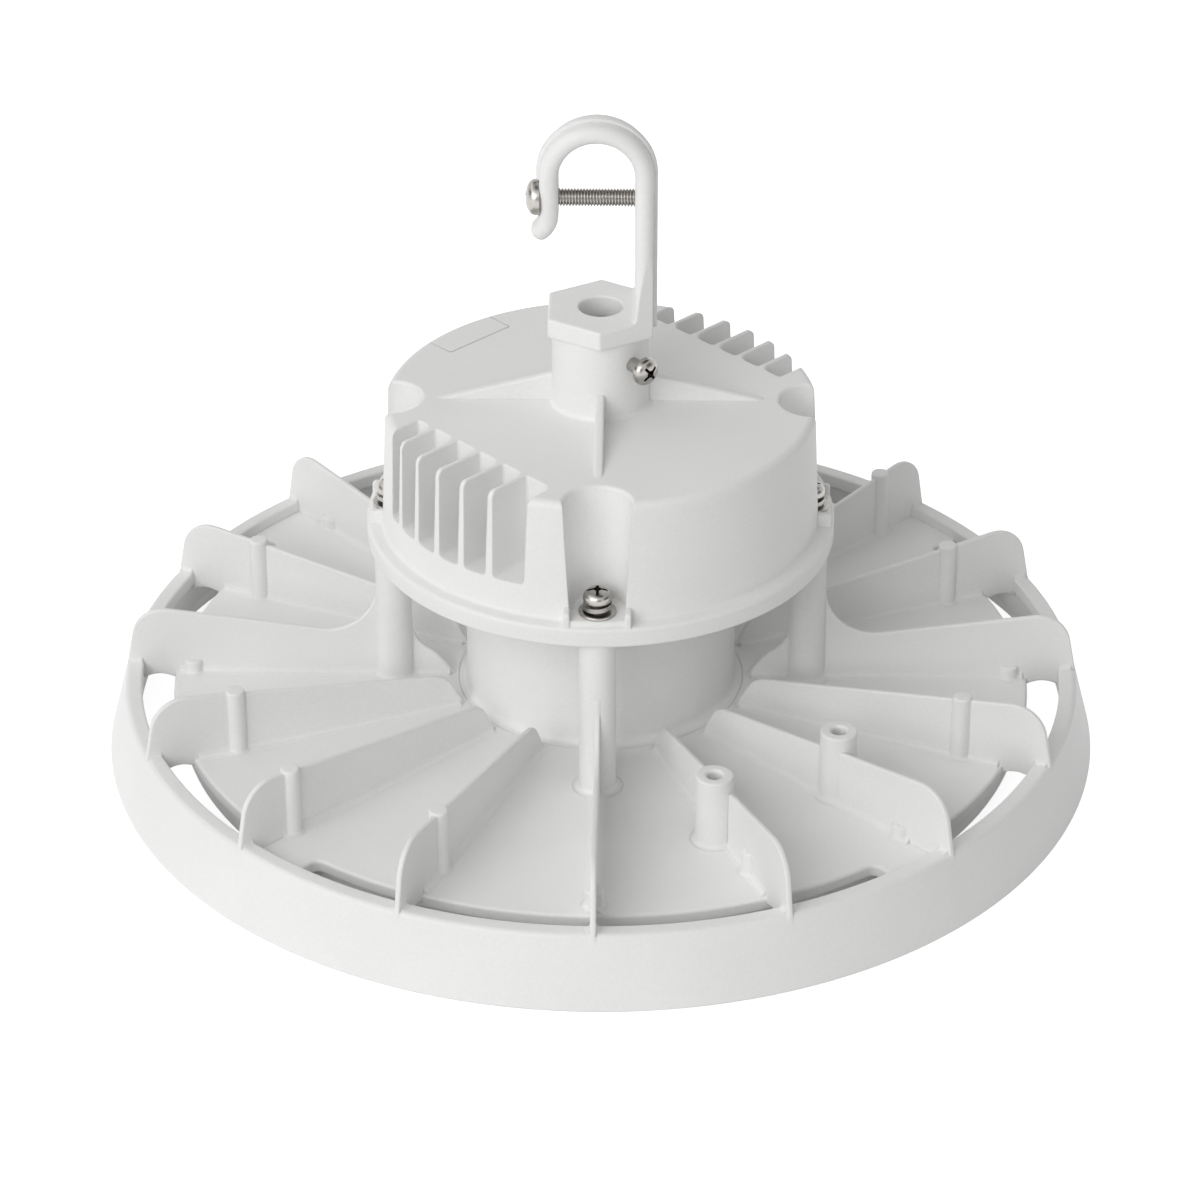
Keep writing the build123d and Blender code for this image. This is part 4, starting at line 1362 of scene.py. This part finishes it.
lock = {
    "angle": -49.0,
    "seat": 21.8,
    "z": 148.8,
    "headR": 4.75,
    "headHeight": 3.7,
    "shankR": 2.5,
    "length": 8.4,
    "arm": 3.0,
    "spin": 38,
}
lockWay = Vector((*polar(1, lock["angle"]), 0))
lockPlace = facing(lockWay * lock["seat"] + Vector((0, 0, lock["z"])), lockWay, lock["spin"])
lockScrew = screwPiece("stem_lock_screw", lock, lockPlace)  # without a pitch: its shank is bare
handOver(lockScrew, ["lock_screw"])

clamp = {
    "seat": 93.5,
    "headR": 4.75,
    "headHeight": 4.1,
    "shankR": 2.5,
    "pitch": 0.8,
    "length": 27.5,
    "arm": 3.3,
    "spins": {"right": 10, "back": 40, "left": 65, "front": 1},
}
for name, angle in (("right", 0), ("back", 90), ("left", 180), ("front", -90)):
    point = (*polar(sink["pillarRing"], angle), clamp["seat"])
    clampPlace = facing(point, (0, 0, 1), clamp["spins"][name])
    screw = screwPiece(f"clamp_screw_in_{name}", clamp, clampPlace)
    handOver(screw, [f"clamp_screw_{name}"])

washer = {
    "bore": 2.7,
    "flatR": 6.2,
    "flatThick": 1.0,
    "springR": 4.8,
    "springThick": 1.6,
    "springFree": 3.7,
    "springTurns": 350 / 360,
    "springPlay": 0.15,
}
flatLow, flatHigh = case["padTop"], case["padTop"] + washer["flatThick"]
flatCorners = [
    (washer["bore"], flatLow, 0.1),
    (washer["flatR"], flatLow, 0.2),
    (washer["flatR"], flatHigh, 0.3),
    (washer["bore"], flatHigh, 0.1),
]
flatShell = shifted(latheRounded(flatCorners, 30, 64), x=sink["pillarRing"])
flatWashers = spread(meshObject("flat_washer_set", flatShell, stainless), 4)
handOver(flatWashers, ["flat_washers"])

springThick, springPlay = washer["springThick"], washer["springPlay"]
springWashers = wound(
    "spring_washer_set",
    (washer["bore"], washer["springR"]),
    washer["springTurns"],
    washer["springFree"] - springThick - springPlay,
    (springThick, springThick),
    springSteel,
    sharp=32,
)
coilLow = flatHigh + (springThick + springPlay) / 2
putAt(springWashers, Matrix.Rotation(math.pi, 4, "Z"))  # its opening to the outside
putAt(springWashers, Matrix.Translation((sink["pillarRing"], 0, coilLow)))
spread(springWashers, 4)
handOver(springWashers, ["spring_washers"])
print("screws and washers turned")

light = {
    "lensR": 131.0,
    "lensTop": 13.7,
    "lensLow": 11.1,
    "domeR": 8.0,
    "domeRoot": 0.8,
    "domeRise": 3.0,
    "rings": ((38.0, 12), (61.0, 18), (84.0, 24), (107.0, 30)),  # radius and number of chips
    "chip": 5.0,
    "chipLow": 14.8,
    "chipTop": 15.6,
    "retainerR": 144.5,
    "retainerInner": 126.0,
    "retainerWall": 2.4,
    "retainerLow": 8.7,
    "retainerTop": 17.05,
    "screwRing": 138.5,
    "screws": 12,
}
lensCorners = [
    (0, light["lensLow"]),
    (light["lensR"], light["lensLow"], 0.5),
    (light["lensR"], light["lensTop"], 0.4),
    (0, light["lensTop"]),
]
lensParts = [meshObject("lens disc", latheRounded(lensCorners, 30, 160), clearLens)]
domeTop = light["lensLow"] + light["domeRoot"]
domeSide = [(0, domeTop), (light["domeR"], domeTop)]
for at in range(9):
    turn = math.pi / 2 * at / 8
    r = light["domeR"] * math.cos(turn) if at < 8 else 0
    domeSide.append((r, light["lensLow"] - light["domeRise"] * math.sin(turn)))
for ring, count in light["rings"]:
    lenslet = meshObject("lenslets", shifted(lathe(domeSide, 28), x=ring), clearLens)
    lensParts.append(spread(lenslet, count, sharp=40))
lens = combined("lens_plate", lensParts)
smoothMesh(lens.data, sharp=40)
handOver(lens, ["lens"])

chipParts = []
chipHalf = light["chip"] / 2
for ring, count in light["rings"]:
    corners = [(ring + x * chipHalf, y * chipHalf, 0.3) for x, y in squareCorners]
    chip = plate(roundedOutline(corners, 45), light["chipLow"], light["chipTop"], 0.12, 0, 2)
    chipParts.append(spread(meshObject("chips", chip, phosphor), count))
handOver(combined("light_chip_set", chipParts), ["led_chips"])

retainerWallR = light["retainerR"] - light["retainerWall"]
retainerCorners = [
    (light["retainerInner"], light["retainerLow"], 0.5),
    (light["retainerR"], light["retainerLow"], 1.0),
    (light["retainerR"], light["retainerTop"]),
    (retainerWallR, light["retainerTop"]),
    (retainerWallR, light["lensLow"]),
    (light["retainerInner"], light["lensLow"], 0.5),
]
retainer = meshObject("lens_holding_ring", latheRounded(retainerCorners, 18, 192), whiteCoat)
handOver(retainer, ["lens_retainer"])

small = {
    "headR": 3.5,
    "headHeight": 2.4,
    "shankR": 2.0,
    "pitch": 0.7,
    "length": 9.0,
    "arm": 2.1,
    "spin": 15,
}
smallPlace = facing((light["screwRing"], 0, light["retainerLow"]), (0, 0, -1), small["spin"])
smallScrew = screwPiece("retainer_screw_set", small, smallPlace)
# Keeps which faces carry the painted shade of the cross, for all the copies
marked = [face.material_index for face in smallScrew.data.polygons]
spread(smallScrew, light["screws"], 180 / light["screws"])
smallScrew.data.materials.append(paintedShadeSteel)
for at, face in enumerate(smallScrew.data.polygons):  # the copies follow one another
    face.material_index = marked[at % len(marked)]
handOver(smallScrew, ["retainer_screws"])
print("light source fitted")

# Pieces inside the light, which keep their solids and get their finish here
inner = {
    "driver_lid": rolledSheet,
    "lid_screws": stainless,
    "lid_seal": silicone,
    "neck_seal": silicone,
    "driver_module": driverCase,
    "driver_screws": stainless,
    "lid_grommet": silicone,
    "plate_grommet": silicone,
    "board_leads": leadSleeve,
    "cable_seal": silicone,
    "led_board": boardMask,
    "lens_seal": silicone,
}
for name, material in inner.items():
    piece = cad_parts[name]
    piece.data.materials.clear()
    piece.data.materials.append(material)
print("inner pieces finished")

studio = {
    "floor": (0.86, 0.88),  # its two tones
    "floorZ": -0.0002,
    "floorHalf": 6,
    "floorGlow": 0.8,  # seen by the camera and in gloss only
    "world": 0.43,
    "lamps": {
        "key": {"at": (-1.5, -2.3, 1.6), "size": (2.8, 2.0), "power": 49},
        "top": {"at": (-1.2, 0.4, 2.2), "size": (2.0, 2.0), "power": 8},
    },
    "target": (0, 0, 0.08),
    "cards": {
        "front card": {"at": (0.5, -2.6, 0.75), "size": (1.5, 0.9)},
        "right card": {"at": (2.2, -0.6, 0.9), "size": (1.6, 1.3)},
        "left card": {"at": (-2.4, 0.2, 0.9), "size": (1.4, 0.8)},
        "ceiling card": {"at": (0.2, 0.6, 3.0), "size": (4.5, 3.6)},
    },
}


# Share of a background's light that eye, gloss and glass see, and nothing else
def seenDirectly(tree):
    paths = addNode(tree, "ShaderNodeLightPath").outputs
    mirrored = addNode(
        tree,
        "ShaderNodeMath",
        {0: paths["Is Glossy Ray"], 1: paths["Is Transmission Ray"]},
        operation="MAXIMUM",
    )
    return addNode(
        tree,
        "ShaderNodeMath",
        {0: paths["Is Camera Ray"], 1: mirrored.outputs[0]},
        operation="MAXIMUM",
    ).outputs[0]


floorMaterial, floorTree = newMaterial("pale studio floor")
floorSpace = addNode(floorTree, "ShaderNodeTexCoord").outputs["Object"]
cloud = addNode(floorTree, "ShaderNodeTexNoise", {"Vector": floorSpace, "Scale": 3.0})
tone = addNode(
    floorTree,
    "ShaderNodeMix",
    {
        "Factor": cloud.outputs["Fac"],
        "A": (studio["floor"][0],) * 3 + (1,),
        "B": (studio["floor"][1],) * 3 + (1,),
    },
    data_type="RGBA",
)
matt = addNode(floorTree, "ShaderNodeBsdfDiffuse", {"Color": tone.outputs[2]})
glowShare = addNode(
    floorTree,
    "ShaderNodeMath",
    {0: seenDirectly(floorTree), 1: studio["floorGlow"]},
    operation="MULTIPLY",
)
glow = addNode(
    floorTree, "ShaderNodeEmission", {"Color": (1, 1, 1, 1), "Strength": glowShare.outputs[0]}
)
both = addNode(
    floorTree, "ShaderNodeAddShader", {0: matt.outputs["BSDF"], 1: glow.outputs["Emission"]}
)
addNode(floorTree, "ShaderNodeOutputMaterial", {"Surface": both.outputs["Shader"]})


# Flat rectangle for the stage, in metres
def sheet(name, halfX, halfY, z, material):
    mesh = bpy.data.meshes.new(name)
    mesh.from_pydata([(x * halfX, y * halfY, z) for x, y in squareCorners], [], [[0, 1, 2, 3]])
    mesh.materials.append(material)
    made = placed(name, mesh)
    return made


sheet("floor", studio["floorHalf"], studio["floorHalf"], studio["floorZ"], floorMaterial)

world = bpy.data.worlds.new("studio")
world.use_nodes = True
world.node_tree.nodes.clear()
skyStrength = addNode(
    world.node_tree,
    "ShaderNodeMapRange",
    {"Value": seenDirectly(world.node_tree), "To Min": studio["world"], "To Max": 1.0},
)
sky = addNode(
    world.node_tree,
    "ShaderNodeBackground",
    {"Color": (1, 1, 1, 1), "Strength": skyStrength.outputs["Result"]},
)
addNode(world.node_tree, "ShaderNodeOutputWorld", {"Surface": sky.outputs["Background"]})
bpy.context.scene.world = world


# Puts a stage object at a point, looking along a direction
def aimed(made, at, way):
    made.location = at
    made.rotation_mode = "QUATERNION"
    made.rotation_quaternion = way.to_track_quat("-Z", "Y")


target = Vector(studio["target"])
for name, setting in studio["lamps"].items():
    lamp = bpy.data.lights.new(name, "AREA")
    lamp.shape = "RECTANGLE"
    lamp.size, lamp.size_y = setting["size"]
    lamp.energy = setting["power"]
    lampObject = placed(name, lamp)
    aimed(lampObject, setting["at"], target - Vector(setting["at"]))

# Dark cards that only the gloss of the metal sees, as a studio uses them round shiny things
cardMaterial, cardTree = newMaterial("black studio card")
cardShader = addNode(cardTree, "ShaderNodeBsdfDiffuse", {"Color": linearColour("#141414")})
addNode(cardTree, "ShaderNodeOutputMaterial", {"Surface": cardShader.outputs["BSDF"]})
for name, setting in studio["cards"].items():
    wide, high = setting["size"]
    card = sheet(name, wide / 2, high / 2, 0, cardMaterial)
    aimed(card, setting["at"], target - Vector(setting["at"]))
    card.visible_camera = False
    card.visible_diffuse = False
    card.visible_transmission = False
    card.visible_shadow = False

view = {
    "lens": 138.46,
    "distance": 1.35687,  # from the main axis, in metres
    "height": 0.862091,
    "sideways": 0.014962,  # how far it stands to the right of the front, in radians
    "swing": 0.01513,  # how far it looks to the left, in radians
    "dip": 0.538806,  # how far it looks down, in radians
}
camera = bpy.data.cameras.new("photo camera")
camera.sensor_width = 36.0
camera.lens = view["lens"]
camera.clip_start, camera.clip_end = 0.05, 30
cameraObject = placed("photo camera", camera)
swing, dip, sideways = view["swing"], view["dip"], view["sideways"]
standX, standY = view["distance"] * math.sin(sideways), -view["distance"] * math.cos(sideways)
forward = Vector(
    (-math.sin(swing) * math.cos(dip), math.cos(swing) * math.cos(dip), -math.sin(dip))
)
aimed(cameraObject, (standX, standY, view["height"]), forward)
bpy.context.scene.camera = cameraObject
bpy.context.scene.view_settings.view_transform = "Standard"
print("studio lit")
